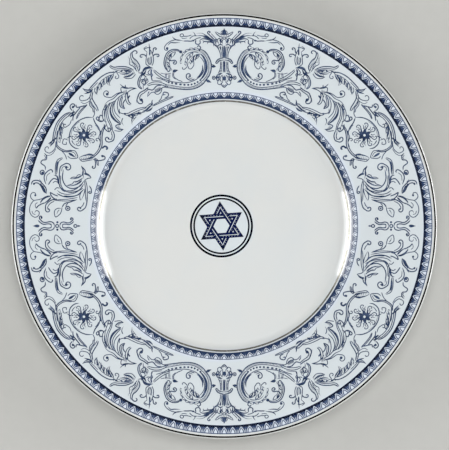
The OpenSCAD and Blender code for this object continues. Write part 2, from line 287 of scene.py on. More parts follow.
class Workshop:
    """Steps of modelling that the pieces share."""

    SMOOTH_ANGLE: ClassVar[float] = math.radians(40)
    MERGE: ClassVar[float] = 0.0005 * MM

    @staticmethod
    def clear() -> None:
        """Leaves object mode with nothing selected."""
        if bpy.context.object and bpy.context.object.mode != "OBJECT":
            bpy.ops.object.mode_set(mode="OBJECT")
        bpy.ops.object.select_all(action="DESELECT")

    @staticmethod
    def pick(obj: Piece) -> None:
        """Makes an object the only selected one, and the active one."""
        Workshop.clear()
        obj.select_set(True)
        bpy.context.view_layer.objects.active = obj

    @staticmethod
    def edit(obj: Piece) -> None:
        """Opens an object in edit mode with everything selected."""
        Workshop.pick(obj)
        bpy.ops.object.mode_set(mode="EDIT")
        bpy.ops.mesh.select_all(action="SELECT")

    @staticmethod
    def modify(obj: Piece, kind: str, **values: object) -> None:
        """Adds a modifier with its settings and applies it."""
        Workshop.pick(obj)
        bpy.ops.object.modifier_add(type=kind)
        modifier = obj.modifiers[-1]
        for name, value in values.items():
            setattr(modifier, name, value)
        bpy.ops.object.modifier_apply(modifier=modifier.name)

    @staticmethod
    def join(objs: Sequence[Piece]) -> Piece:
        """Joins objects into the first of them."""
        Workshop.clear()
        for obj in objs:
            obj.select_set(True)
        bpy.context.view_layer.objects.active = objs[0]
        if len(objs) > 1:
            bpy.ops.object.join()
        return objs[0]

    @staticmethod
    def face_up(obj: Piece) -> None:
        """Turns the faces of a flat design up."""
        mesh = bmesh.new()
        mesh.from_mesh(obj.data)
        bmesh.ops.reverse_faces(mesh, faces=[face for face in mesh.faces if face.normal.z < 0])
        mesh.to_mesh(obj.data)
        mesh.free()

    @staticmethod
    def smooth(obj: Piece) -> None:
        """Shades an object smooth, with its edges kept."""
        Workshop.pick(obj)
        bpy.ops.object.shade_smooth_by_angle(angle=Workshop.SMOOTH_ANGLE)

    @staticmethod
    def annulus(inner: float, outer: float, cuts: int, around: int) -> Piece:
        """Flat ring between two radii, with loops across it."""
        Workshop.clear()
        bpy.ops.mesh.primitive_circle_add(vertices=around, radius=outer)
        rim = bpy.context.object
        bpy.ops.mesh.primitive_circle_add(vertices=around, radius=inner)
        ring = Workshop.join([rim, bpy.context.object])
        Workshop.edit(ring)
        bpy.ops.mesh.bridge_edge_loops(number_cuts=cuts, interpolation="LINEAR")
        bpy.ops.object.mode_set(mode="OBJECT")
        return ring

    @staticmethod
    def strips(runs: Iterable[Strip]) -> Piece:
        """Flat shapes, each a run of quads between two edges."""
        made = []
        for run in runs:
            Workshop.clear()
            bpy.ops.mesh.primitive_grid_add(x_subdivisions=1, y_subdivisions=len(run) - 1)
            made.append(bpy.context.object)
            ends = [spot for pair in run for spot in pair]
            for vertex, spot in zip(made[-1].data.vertices, ends):
                vertex.co = spot
        return Workshop.join(made)

    @staticmethod
    def repeat(obj: Piece, count: int) -> None:
        """Copies a flat shape round the plate's axis."""
        Workshop.edit(obj)
        bpy.ops.mesh.spin(dupli=True, steps=count - 1, angle=2 * math.pi * (count - 1) / count,
                          center=(0.0, 0.0, 0.0), axis=(0.0, 0.0, 1.0))
        bpy.ops.object.mode_set(mode="OBJECT")

    @staticmethod
    def install(obj: Piece, node: str, slot: Slot, material: Material) -> Piece:
        """Names a piece, dresses it and sets it in the frame.

        Args:
            obj: the finished piece.
            node: that it stands for.
            slot: of the record; not used.
            material: that it wears.

        Returns:
            The piece.
        """
        obj.name = node
        obj.data.name = node
        obj.data.materials.clear()
        obj.data.materials.append(material)
        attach(obj, "root")
        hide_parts(node)
        log.info("%s: %d faces", node, len(obj.data.polygons))
        return obj


@dataclass(frozen=True)
class PlateSection:
    """Half section of the plate: radius as the real part of a spot and height as the other.

    The roundings are in the order of the corners, and the names in capitals count the corners.
    """

    lip: float
    height: float
    rim: float = 42 * MM
    lip_edge: float = 3.2 * MM
    well_depth: float = 3.6 * MM
    wall: float = math.radians(40)
    floor: float = 4 * MM
    foot_set: float = 5.2 * MM
    foot_width: float = 3.2 * MM
    recess: float = 2.4 * MM
    foot_draft: float = 1 * MM
    heel_run: float = 1.7 * MM
    heel_rise: float = 1 * MM
    coat: float = 0.3 * MM
    bare: float = 0.8 * MM
    rounding: Tuple[float, ...] = (5 * MM, 7 * MM, 1 * MM, 1.2 * MM, 5 * MM, 0.8 * MM, 0.8 * MM, 1.2 * MM)
    arc_steps: int = 14
    longest: float = 3 * MM

    LIP_TOP: ClassVar[int] = 3
    LIP_LOW: ClassVar[int] = 4
    HEEL: ClassVar[int] = 5
    FOOT_OUT: ClassVar[int] = 6
    FOOT_IN: ClassVar[int] = 7
    RECESS: ClassVar[int] = 8

    @property
    def verge(self) -> float:
        """Radius of the corner where the rim turns down into the well."""
        return self.lip - self.rim

    @property
    def floor_z(self) -> float:
        """Height of the floor of the well."""
        return self.recess + self.floor

    def corners(self) -> List[complex]:
        """Corners of the glazed outline, from the middle of the well round to the recess."""
        verge = complex(self.verge, self.floor_z + self.well_depth)
        lip_r = self.rounding[self.LIP_TOP - 1]
        reach = complex(self.lip - lip_r, self.height - lip_r) - verge
        slope = math.tan(cmath.phase(reach) + math.asin(lip_r / abs(reach)))
        lip_top = complex(self.lip, verge.imag + self.rim * slope)
        foot_out = self.verge - self.foot_set
        foot_in = foot_out - self.foot_width
        return [
            complex(0, self.floor_z),
            complex(self.verge - self.well_depth / math.tan(self.wall), self.floor_z),
            verge,
            lip_top,
            lip_top - 1j * self.lip_edge,
            complex(foot_out + self.heel_run, self.recess + self.heel_rise),
            complex(foot_out, 0),
            complex(foot_in, 0),
            complex(foot_in - self.foot_draft, self.recess),
            complex(0, self.recess),
        ]

    def arcs(self, grow: float) -> List[List[complex]]:
        """Outline moved outwards: its first spot, the rounded corners and its last spot."""
        corners = self.corners()
        ways = [(b - a) / abs(b - a) for a, b in zip(corners, corners[1:])]
        coated = [0.0 if k == self.FOOT_OUT else grow for k in range(len(ways))]
        moved = [corner + 1j * way * out for corner, way, out in zip(corners, ways, coated)]
        arcs = [[moved[0]]]
        for k in range(1, len(ways)):
            before, after = ways[k - 1], ways[k]
            turn = cmath.phase(after / before)
            cross = (before.conjugate() * after).imag
            gap = moved[k] - moved[k - 1]
            corner = moved[k - 1] + before * (gap.conjugate() * after).imag / cross
            radius = self.rounding[k - 1] - math.copysign(grow, turn)
            start = corner - before * radius * math.tan(abs(turn) / 2)
            centre = start + 1j * math.copysign(radius, turn) * before
            arcs.append([centre + (start - centre) * cmath.exp(1j * turn * s / self.arc_steps)
                         for s in range(self.arc_steps + 1)])
        arcs.append([corners[-1] + 1j * ways[-1] * grow])
        return arcs

    def at_bare(self, first: complex, second: complex) -> complex:
        """Spot of a straight edge where the glaze stops above the foot."""
        return first + (second - first) * (self.bare - first.imag) / (second.imag - first.imag)

    def divided(self, path: Sequence[complex]) -> List[complex]:
        """Path with its long straight stretches divided."""
        spots = [path[0]]
        for a, b in zip(path, path[1:]):
            count = max(1, math.ceil(abs(b - a) / self.longest))
            spots += [a + (b - a) * k / count for k in range(1, count + 1)]
        return spots

    def face_path(self, grow: float) -> List[complex]:
        """Path over the face, from the middle to the lip."""
        arcs = self.arcs(grow)
        return self.divided(sum(arcs[:self.LIP_LOW], []))

    def back_path(self, grow: float) -> List[complex]:
        """Path over the back, from the lip to the dry edge of the foot."""
        arcs = self.arcs(grow)
        stop = self.at_bare(arcs[self.HEEL][-1], arcs[self.FOOT_OUT][0])
        return self.divided([arcs[self.LIP_TOP][-1]] + arcs[self.LIP_LOW] + arcs[self.HEEL] + [stop])

    def recess_path(self, grow: float) -> List[complex]:
        """Path over the recess, from the dry edge of the foot to the middle."""
        arcs = self.arcs(grow)
        start = self.at_bare(arcs[self.FOOT_IN][-1], arcs[self.RECESS][0])
        return self.divided([start] + arcs[self.RECESS] + arcs[-1])

    def clay_path(self) -> List[complex]:
        """Path round the clay under the glaze."""
        return self.divided(sum(self.arcs(-self.coat), []))


@dataclass(frozen=True)
class Turning:
    """A piece turned from its half section, as on a wheel."""

    node: str
    slot: Slot
    material: Material
    steps: int = 256

    def build(self, section: Sequence[complex]) -> Piece:
        """Turns a closed half section round the axis.

        Args:
            section: spots round the half section.

        Returns:
            The finished piece.
        """
        Workshop.clear()
        bpy.ops.mesh.primitive_circle_add(vertices=len(section), radius=1.0)
        piece = bpy.context.object
        for vertex, spot in zip(piece.data.vertices, section):
            vertex.co = (spot.real, 0.0, spot.imag)
        Workshop.edit(piece)
        bpy.ops.mesh.spin(steps=self.steps, angle=2 * math.pi, center=(0.0, 0.0, 0.0), axis=(0.0, 0.0, 1.0))
        bpy.ops.mesh.select_all(action="SELECT")
        bpy.ops.mesh.remove_doubles(threshold=Workshop.MERGE)
        bpy.ops.mesh.delete_loose()
        bpy.ops.mesh.select_all(action="SELECT")
        bpy.ops.mesh.normals_make_consistent(inside=False)
        bpy.ops.object.mode_set(mode="OBJECT")
        Workshop.smooth(piece)
        return Workshop.install(piece, self.node, self.slot, self.material)


@dataclass(frozen=True)
class Press:
    """Lays a flat design on the face of the plate as a thin film."""

    face: Piece
    above: float = 40 * MM
    bed: float = 0.01 * MM
    film: float = 0.04 * MM

    def lay(self, flat: Piece) -> Piece:
        """Drops the design onto the face and gives it its thickness.

        Args:
            flat: the design, with its faces up, at the height of the origin.

        Returns:
            The same object as a closed film.
        """
        Workshop.edit(flat)
        bpy.ops.transform.translate(value=(0.0, 0.0, self.above))
        Workshop.clear()
        Workshop.face_up(flat)
        Workshop.modify(flat, "SHRINKWRAP", target=self.face, wrap_method="PROJECT", use_project_z=True,
                        use_negative_direction=True, use_positive_direction=False, offset=self.bed,
                        wrap_mode="ABOVE_SURFACE")
        Workshop.modify(flat, "SOLIDIFY", thickness=self.film, offset=1.0)
        Workshop.smooth(flat)
        return flat


@dataclass(frozen=True)
class RingFilm:
    """A plain ring on the face: a metal line or the dark stripe of a border."""

    node: str
    slot: Slot
    material: Material
    inner: float
    outer: float
    cuts: int = 5
    around: int = 384

    def build(self, press: Press) -> Piece:
        """Builds the ring and lays it on the face."""
        ring = Workshop.annulus(self.inner, self.outer, self.cuts, self.around)
        return Workshop.install(press.lay(ring), self.node, self.slot, self.material)


@dataclass(frozen=True)
class EggUnit:
    """One unit of an egg border: a white egg in a blue and a white shell, with darts between units.

    Widths and heights are shares of the unit's own pitch and height. A shell is half its width and
    the height of its point.
    """

    inner: float
    outer: float
    count: int
    egg: Spot = (0.19, 0.28)
    blue_shell: Spot = (0.3, 0.1)
    white_shell: Spot = (0.385, -0.06)
    dart: float = 0.035
    crown: float = 0.87
    tooth: float = 0.1
    levels: int = 6
    shoulder: float = 0.74
    fullness: Spot = (1.5, 0.95)
    dart_foot: Spot = (0.3, 0.5)

    @property
    def pitch(self) -> float:
        """Angle from one unit to the next."""
        return 2 * math.pi / self.count

    def spot(self, across: float, up: float) -> Vector:
        """Place on the flat design of a spot in the unit."""
        turn = across * self.pitch
        reach = self.inner + up * (self.outer - self.inner)
        return Vector((reach * math.sin(turn), reach * math.cos(turn), 0.0))

    def half(self, shell: Spot, up: float) -> float:
        """Half the width of a shell at a height: straight above, and drawn to its point below."""
        width, point = shell
        if up >= self.shoulder:
            return width
        if up <= point:
            return 0.0
        below = (self.shoulder - up) / (self.shoulder - point)
        return width * (1.0 - below ** self.fullness[0]) ** self.fullness[1]

    def heights(self, low: float, high: float) -> List[float]:
        """Even heights from low to high."""
        return [low + (high - low) * k / self.levels for k in range(self.levels + 1)]

    def run(self, ups: Sequence[float], left: Sequence[float], right: Sequence[float]) -> Strip:
        """Strip between two edges, given at each of its heights."""
        return [(self.spot(a, up), self.spot(b, up)) for a, b, up in zip(left, right, ups)]

    def ground(self) -> List[Strip]:
        """Blue parts of the unit: the shell round the egg, the ground beside it and the crown line."""
        runs = []
        start, full = self.dart_foot
        shell_ups = self.heights(self.blue_shell[1], self.crown)
        side_ups = self.heights(self.tooth, self.crown)
        slits = [self.dart * min(1.0, max(0.0, (up - start) / (full - start))) for up in side_ups]
        for sign in (-1.0, 1.0):
            runs.append(self.run(shell_ups, [sign * self.half(self.blue_shell, up) for up in shell_ups],
                                 [sign * self.half(self.egg, up) for up in shell_ups]))
            runs.append(self.run(side_ups, [sign * (0.5 - slit) for slit in slits],
                                 [sign * self.half(self.white_shell, up) for up in side_ups]))
        runs.append(self.run([self.crown, 1.0], [-0.5, -0.5], [0.5, 0.5]))
        return runs

    def teeth(self) -> List[Strip]:
        """Dark parts of the unit, which fill the stripe's edge between the points of the shells."""
        ups = self.heights(0.0, self.tooth)
        halves = [self.half(self.white_shell, up) for up in ups]
        return [self.run(ups, halves, [1.0 - half for half in halves])]


@dataclass(frozen=True)
class EggBorder:
    """A border of egg units with the dark stripe on its inner side."""

    unit: EggUnit
    node: str
    stripe_node: str
    stripe_width: float
    gap: float = 0.02 * MM
    cuts: int = 3
    around: int = 384

    def build(self, press: Press, ink: Material, dark: Material) -> None:
        """Builds the border's ground and its stripe.

        Args:
            press: that lays them on the face.
            ink: of the ground.
            dark: ink of the stripe.
        """
        ground = Workshop.strips(self.unit.ground())
        Workshop.repeat(ground, self.unit.count)
        Workshop.install(press.lay(ground), self.node, Slot.BORDER, ink)
        teeth = Workshop.strips(self.unit.teeth())
        Workshop.repeat(teeth, self.unit.count)
        outer = self.unit.inner - self.gap
        ring = Workshop.annulus(outer - self.stripe_width, outer, self.cuts, self.around)
        Workshop.install(press.lay(Workshop.join([ring, teeth])), self.stripe_node, Slot.STRIPE, dark)


class Taper(Enum):
    """How a stroke's width runs from its start to its end."""

    EVEN = "even"
    POINT = "point"
    SWELL = "swell"
    DROP = "drop"
    ROUND = "round"

    def share(self, along: float) -> float:
        """Share of the full width at a place along the stroke, from 0 at its start to 1."""
        if self is Taper.POINT:
            return min(1.0, 0.45 + 5.0 * along) * (1.0 - along) ** 0.55
        if self is Taper.SWELL:
            return math.sin(math.pi * along) ** 0.7
        if self is Taper.DROP:
            return math.sin(math.pi * along ** 0.62)
        if self is Taper.ROUND:
            return math.sqrt(max(0.0, 1.0 - (2.0 * along - 1.0) ** 2))
        return min(1.0, 0.3 + 8.0 * along, 0.3 + 8.0 * (1.0 - along))


class Pen(Enum):
    """Widths of the strokes, in metres."""

    HAIR = 0.2 * MM
    FINE = 0.31 * MM
    LINE = 0.41 * MM
    BOLD = 0.54 * MM
    BRUSH = 0.88 * MM
    BROAD = 1.3 * MM


class Side(Enum):
    """Side that a stroke turns to, seen along it."""

    LEFT = 1
    RIGHT = -1


@dataclass
class Ribbon:
    """One ink stroke: its path on the grid and its width along it, in metres."""

    path: List[complex]
    widths: List[float]
    closed: bool = False


@dataclass
class InkSheet:
    """Strokes of one print, drawn on the grid of the rim.

    A spot on the grid is rows along the rim from the upright axis and rows towards the lip from
    the middle of the field. Inside, spots are complex numbers, so that a turn is a product.
    """

    row: float
    ribbons: List[Ribbon] = field(default_factory=list)

    KNOT_STEPS: ClassVar[int] = 6
    BOW_STEPS: ClassVar[int] = 8
    COIL_STEPS: ClassVar[int] = 16
    FEWEST_COIL_STEPS: ClassVar[int] = 6
    DOT_STEPS: ClassVar[int] = 8
    RING_STEPS: ClassVar[int] = 14
    TIE_STEPS: ClassVar[int] = 3
    THINNEST: ClassVar[float] = 0.1
    DASH: ClassVar[float] = 0.6
    STEM_SWELL: ClassVar[float] = 0.4
    COIL_TIGHTENS: ClassVar[float] = 0.72
    LOBE_LEAN: ClassVar[float] = 0.4
    LOBE_FADE: ClassVar[float] = 0.5
    LOBE_BOWS: ClassVar[Spot] = (0.14, 0.1)

    def lay(self, path: List[complex], width: float, taper: Taper) -> None:
        """Adds a stroke along a path, with its full width in metres."""
        last = len(path) - 1
        shares = [max(self.THINNEST, taper.share(k / last)) for k in range(last + 1)]
        self.ribbons.append(Ribbon(path, [width * share for share in shares]))

    def smooth(self, knots: Sequence[Spot]) -> List[complex]:
        """Smooth path through the knots."""
        spots = [complex(*knot) for knot in knots]
        ends = [2 * spots[0] - spots[1]] + spots + [2 * spots[-1] - spots[-2]]
        path = []
        for a, b, c, d in zip(ends, ends[1:], ends[2:], ends[3:]):
            for k in range(self.KNOT_STEPS):
                t = k / self.KNOT_STEPS
                bend = 2 * a - 5 * b + 4 * c - d
                path.append(0.5 * (2 * b + (c - a) * t + bend * t ** 2 + (3 * b - a - 3 * c + d) * t ** 3))
        return path + [spots[-1]]

    def bow(self, root: Spot, tip: Spot, bend: float) -> List[complex]:
        """Path between two spots that bulges to the left by a share of its length."""
        return self.bow_to(complex(*root), complex(*tip), bend)

    def bow_to(self, start: complex, end: complex, bend: float) -> List[complex]:
        """Path as of bow, between complex spots."""
        middle = (start + end) / 2 + 2j * bend * (end - start)
        shares = [k / self.BOW_STEPS for k in range(self.BOW_STEPS + 1)]
        return [(1 - t) ** 2 * start + 2 * t * (1 - t) * middle + t * t * end for t in shares]

    def stroke(self, knots: Sequence[Spot], pen: Pen = Pen.LINE, taper: Taper = Taper.EVEN) -> None:
        """Draws a stroke through the knots."""
        self.lay(self.smooth(knots), pen.value, taper)

    def comma(self, root: Spot, tip: Spot, bend: float = 0.15, pen: Pen = Pen.BOLD) -> None:
        """Draws a bent stroke that runs out to a point."""
        self.lay(self.bow(root, tip, bend), pen.value, Taper.POINT)

    def drop(self, root: Spot, tip: Spot, width: float) -> None:
        """Fills a drop with its point at the tip and a width in rows."""
        self.lay(self.bow(root, tip, 0.0), width * self.row, Taper.DROP)

    def stem(self, knots: Sequence[Spot], gap: float, pen: Pen = Pen.LINE) -> None:
        """Draws a stem of two lines that meet at its ends.

        Args:
            knots: spots of its first line.
            gap: of the second line to the left of the first, in rows.
            pen: that draws the first line.
        """
        path = self.smooth(knots)
        last = len(path) - 1
        ways = [path[min(k + 1, last)] - path[max(k - 1, 0)] for k in range(last + 1)]
        rises = [math.sin(math.pi * (k + 0.5) / (last + 1)) for k in range(last + 1)]
        swell = [gap * rise ** self.STEM_SWELL for rise in rises]
        second = [spot + 1j * out * way / abs(way) for spot, out, way in zip(path, swell, ways)]
        self.lay(path, pen.value, Taper.EVEN)
        self.lay(second, Pen.LINE.value, Taper.EVEN)

    def frond(self, knots: Sequence[Spot], lobes: int, reach: float, side: Side = Side.LEFT,
              pen: Pen = Pen.LINE) -> None:
        """Draws a leaf's rib with hooked lobes along one side of it.

        Args:
            knots: spots of the rib.
            lobes: along it.
            reach: of the first lobe, in rows; the last is half as long.
            side: that the lobes are on.
            pen: that draws the rib.
        """
        path = self.smooth(knots)
        self.lay(path, pen.value, Taper.POINT)
        places = [path[round(k * (len(path) - 1) / lobes)] for k in range(lobes + 1)]
        for k, (root, end) in enumerate(zip(places, places[1:])):
            ahead = (end - root) / abs(end - root)
            way = ahead * (self.LOBE_LEAN + 1j * side.value)
            tip = end + way * reach * (1 - self.LOBE_FADE * k / lobes)
            back, front = [bow * side.value for bow in self.LOBE_BOWS]
            self.lay(self.bow_to(root, tip, back), Pen.BOLD.value, Taper.POINT)
            self.lay(self.bow_to(end, tip, front), Pen.FINE.value, Taper.EVEN)

    def curl(self, knots: Sequence[Spot], radius: float, side: Side = Side.LEFT, pen: Pen = Pen.LINE,
             turns: float = 1.1, eye: float = 0.0) -> None:
        """Draws a stem that ends in a coil.

        Args:
            knots: spots of the stem.
            radius: of the coil where it starts, in rows.
            side: that the coil turns to.
            pen: that draws it.
            turns: of the coil.
            eye: radius of a dot at the end, in rows.
        """
        path = self.smooth(knots)
        end = path[-1]
        ahead = (end - path[-2]) / abs(end - path[-2])
        centre = end + 1j * side.value * ahead * radius
        steps = max(self.FEWEST_COIL_STEPS, round(self.COIL_STEPS * turns))
        for k in range(1, steps + 1):
            t = k / steps
            turn = cmath.exp(2j * math.pi * side.value * turns * t)
            path.append(centre + (end - centre) * (1 - self.COIL_TIGHTENS * t) * turn)
        self.lay(path, pen.value, Taper.EVEN)
        if eye:
            self.dot((path[-1].real, path[-1].imag), eye)

    def dot(self, at: Spot, radius: float) -> None:
        """Fills a dot with a radius in rows."""
        reach = complex(radius, 0)
        path = [complex(*at) + reach * (2 * k / self.DOT_STEPS - 1) for k in range(self.DOT_STEPS + 1)]
        self.lay(path, 2 * radius * self.row, Taper.ROUND)

    def ring(self, at: Spot, radius: float, pen: Pen = Pen.LINE) -> None:
        """Draws a closed ring with a radius in rows."""
        turns = [2 * math.pi * k / self.RING_STEPS for k in range(self.RING_STEPS)]
        path = [complex(*at) + cmath.rect(radius, turn) for turn in turns]
        self.ribbons.append(Ribbon(path, [pen.value] * len(path), True))

    def beads(self, knots: Sequence[Spot], count: int, radius: float) -> None:
        """Sets a row of dots along a path."""
        path = self.smooth(knots)
        for k in range(count):
            spot = path[round(k * (len(path) - 1) / (count - 1))]
            self.dot((spot.real, spot.imag), radius)

    def dashes(self, knots: Sequence[Spot], count: int, pen: Pen = Pen.BOLD) -> None:
        """Draws a row of dashes along a path."""
        path = self.smooth(knots)
        run = (len(path) - 1) / count
        for k in range(count):
            steps = [(k + self.DASH * s) * run for s in (0.0, 0.2, 0.8, 1.0)]
            spots = [path[int(at)] + (path[int(at) + 1] - path[int(at)]) * (at % 1.0) for at in steps]
            self.lay(spots, pen.value, Taper.EVEN)

    def hatch(self, first: Sequence[Spot], second: Sequence[Spot], count: int, pen: Pen = Pen.HAIR) -> None:
        """Draws lines side by side from one path to another with as many knots."""
        starts, ends = self.smooth(first), self.smooth(second)
        for k in range(count):
            at = round((k + 0.5) * (len(starts) - 1) / count)
            gap = ends[at] - starts[at]
            line = [starts[at] + gap * s / self.TIE_STEPS for s in range(self.TIE_STEPS + 1)]
            self.lay(line, pen.value, Taper.EVEN)


QUARTER = 66.76


class Motif:
    """A print of the scrollwork, drawn on one quarter of the rim and mirrored onto the others."""

    node: ClassVar[str]
    axis_mirrors: ClassVar[Tuple[bool, bool, bool]] = (False, True, False)

    def draw(self, ink: InkSheet) -> None:
        """Draws the strokes of one quarter."""

    def draw_axis(self, ink: InkSheet) -> None:
        """Draws the strokes that lie on an axis, which only one mirror repeats."""


class AxisPalmettes(Motif):
    """Torches on the upright axis, with a leafy wing on either side."""

    node = "axis_palmettes"

    def draw(self, ink: InkSheet) -> None:
        """Draws the right half of the torch and its wing."""
        self.draw_head(ink)
        self.draw_column(ink)
        self.draw_base(ink)
        self.draw_wing(ink)

    def draw_axis(self, ink: InkSheet) -> None:
        """Draws the torch's flame, core and foot on the axis."""
        ink.drop((0, 6.1), (0, 7.75), 1.15)
        ink.stroke([(0, 3.4), (0, 1.8), (0, 0.4)], Pen.BRUSH)
        ink.stroke([(0, -0.4), (0, -2.0), (0, -3.4)], Pen.BOLD)
        ink.drop((0, -5.5), (0, -4.1), 0.75)
        ink.stroke([(-0.9, -6.5), (0, -7.15), (0.9, -6.5)], Pen.BOLD)
        ink.stroke([(-0.5, -6.4), (0, -6.8), (0.5, -6.4)], Pen.FINE)

    def draw_head(self, ink: InkSheet) -> None:
        """Draws the bowl, the horn and the capital of leaves under them."""
        ink.stroke([(0.0, 6.2), (0.8, 6.35), (1.5, 6.75), (1.9, 7.1)], Pen.BOLD, Taper.POINT)
        ink.stroke([(0.0, 5.5), (0.9, 5.7), (1.6, 6.3), (2.0, 7.0)])
        ink.hatch([(0.1, 6.15), (1.3, 6.55)], [(0.15, 5.55), (1.4, 6.05)], 6)
        ink.stroke([(0.45, 6.3), (0.7, 6.8), (0.3, 7.3)], Pen.FINE)
        ink.curl([(2.0, 4.7), (2.9, 5.8), (3.6, 6.7)], 0.38, Side.LEFT, Pen.BOLD, 0.9)
        ink.stroke([(1.6, 4.9), (2.3, 5.8), (2.9, 6.6)], Pen.FINE)
        ink.stroke([(0.0, 4.9), (0.35, 5.3), (0.7, 4.9), (0.55, 4.1)])
        ink.stroke([(0.7, 4.8), (1.1, 5.3), (1.55, 4.8), (1.3, 3.9)])
        ink.stroke([(1.5, 4.9), (2.0, 5.0), (2.4, 4.3), (2.2, 3.6), (1.7, 3.5)], Pen.BOLD)
        ink.comma((0.3, 5.0), (0.35, 3.8), 0.1)
        ink.comma((1.0, 5.0), (0.9, 3.7), -0.1, Pen.BRUSH)
        ink.comma((1.8, 4.8), (1.9, 3.6), 0.1, Pen.BRUSH)
        ink.comma((2.3, 4.2), (2.5, 3.3), 0.1)
        ink.stroke([(0.3, 3.5), (1.0, 3.7), (1.7, 3.3), (2.3, 3.6)], Pen.BOLD)

    def draw_column(self, ink: InkSheet) -> None:
        """Draws the tapered vase, the collar and the fluted column."""
        ink.stroke([(1.9, 3.4), (1.25, 2.3), (0.95, 1.2), (0.95, 0.35)])
        ink.stroke([(1.2, 3.3), (0.8, 2.2), (0.62, 1.0), (0.6, 0.4)], Pen.FINE)
        ink.stroke([(0.45, 3.3), (0.36, 1.8), (0.3, 0.4)], Pen.BOLD)
        ink.comma((0.9, 3.3), (0.72, 1.7), 0.0)
        ink.comma((1.5, 3.3), (1.12, 1.9), 0.0, Pen.LINE)
        ink.stroke([(0.0, 0.35), (0.9, 0.2), (1.7, -0.15), (2.3, -0.95)], Pen.BOLD)
        ink.stroke([(0.0, -0.2), (0.8, -0.3), (1.45, -0.6), (1.75, -1.05)])
        ink.stroke([(1.75, -1.05), (2.3, -0.95)], Pen.BOLD)
        ink.hatch([(0.9, 0.2), (2.2, -0.6)], [(0.8, -0.3), (1.75, -1.0)], 5)
        ink.stroke([(0.95, -0.5), (1.0, -1.8), (1.2, -2.8), (1.7, -3.6)])
        ink.stroke([(0.22, -0.4), (0.22, -2.0), (0.3, -3.4)], Pen.FINE)
        ink.stroke([(0.62, -0.5), (0.64, -2.0), (0.85, -3.4)], Pen.FINE)
        ink.hatch([(0.97, -0.7), (1.05, -2.2), (1.6, -3.5)], [(0.64, -0.7), (0.66, -2.2), (0.9, -3.5)], 9)

    def draw_base(self, ink: InkSheet) -> None:
        """Draws the scrolled base and the bud beside it."""
        ink.stroke([(0.5, -3.6), (1.3, -3.7), (1.9, -4.0), (2.3, -4.7), (1.9, -5.4), (1.3, -5.1)], Pen.BOLD)
        ink.dot((1.95, -4.6), 0.3)
        ink.stroke([(0.4, -4.0), (0.9, -4.4), (1.2, -5.2), (0.8, -5.8)])
        ink.stroke([(1.9, -5.4), (1.9, -6.2), (1.2, -6.5), (0.8, -6.0)])
        ink.comma((1.3, -4.2), (1.5, -5.7), 0.1, Pen.BRUSH)
        ink.comma((0.5, -4.3), (0.7, -6.0), -0.1)
        ink.comma((0.9, -3.8), (1.7, -4.3), 0.1)
        ink.stroke([(0.9, -6.6), (0.7, -6.1), (0.3, -5.7)], Pen.FINE)
        ink.ring((3.0, -4.65), 0.42)
        ink.dot((3.0, -4.65), 0.2)
        ink.stroke([(2.2, -4.7), (2.6, -4.65)])

    def draw_wing(self, ink: InkSheet) -> None:
        """Draws the wing that spreads along the outer side of the rim."""
        ink.stroke([(2.3, 4.5), (3.0, 5.2), (4.2, 5.9), (5.2, 6.3), (6.4, 6.4)], Pen.BRUSH, Taper.POINT)
        ink.stroke([(3.3, 5.6), (4.1, 6.3), (5.0, 6.9), (6.1, 7.0)], Pen.LINE, Taper.POINT)
        ink.stroke([(2.6, 4.4), (3.4, 5.0), (4.4, 5.4), (5.2, 5.4), (5.7, 5.0)], Pen.BRUSH, Taper.POINT)
        ink.stroke([(2.3, 4.0), (2.9, 4.4), (3.9, 4.6), (4.6, 4.8), (5.0, 5.1)], Pen.BRUSH, Taper.POINT)
        ink.comma((2.9, 5.0), (4.7, 5.8), 0.05, Pen.BRUSH)
        ink.comma((3.4, 5.4), (4.6, 6.4), 0.05)
        ink.comma((3.6, 4.6), (3.9, 4.0), 0.1)
        ink.comma((4.5, 4.8), (4.9, 4.3), 0.1)
        ink.comma((6.4, 6.4), (6.8, 7.6), 0.08)
        ink.stroke([(6.0, 6.4), (6.8, 6.5), (7.3, 6.3), (7.8, 5.9)])
        ink.stroke([(5.2, 5.8), (5.8, 5.8), (6.5, 5.6), (7.2, 5.1)])
        ink.stroke([(6.9, 5.5), (7.5, 5.3), (8.3, 5.5), (9.2, 5.7)], Pen.BOLD)
        ink.stroke([(6.4, 5.5), (6.6, 4.6), (6.1, 4.2), (5.6, 4.4), (5.5, 5.2)], Pen.BOLD)
        ink.ring((9.3, 7.2), 0.38)
        ink.stroke([(9.1, 6.9), (8.1, 6.7), (7.2, 6.8)])
        ink.stroke([(9.5, 6.5), (8.9, 6.3), (8.3, 6.3)], Pen.FINE)
        ink.stroke([(9.5, 5.9), (10.3, 6.2), (10.8, 6.5), (11.2, 7.0), (11.35, 7.5)], Pen.BOLD, Taper.SWELL)
        ink.stroke([(9.2, 5.7), (10.6, 6.4), (11.8, 6.5), (12.6, 6.3), (13.3, 5.9), (13.8, 5.3),
                    (13.7, 4.7), (13.2, 4.6), (13.1, 5.1)])
        ink.dot((13.2, 5.0), 0.3)
        ink.stroke([(10.0, 5.5), (11.2, 5.8), (12.1, 6.1), (12.9, 5.6)], Pen.BOLD, Taper.SWELL)
        ink.stroke([(6.4, 3.6), (6.0, 3.85), (5.6, 3.4), (5.8, 2.9), (6.1, 2.4)], Pen.BOLD)


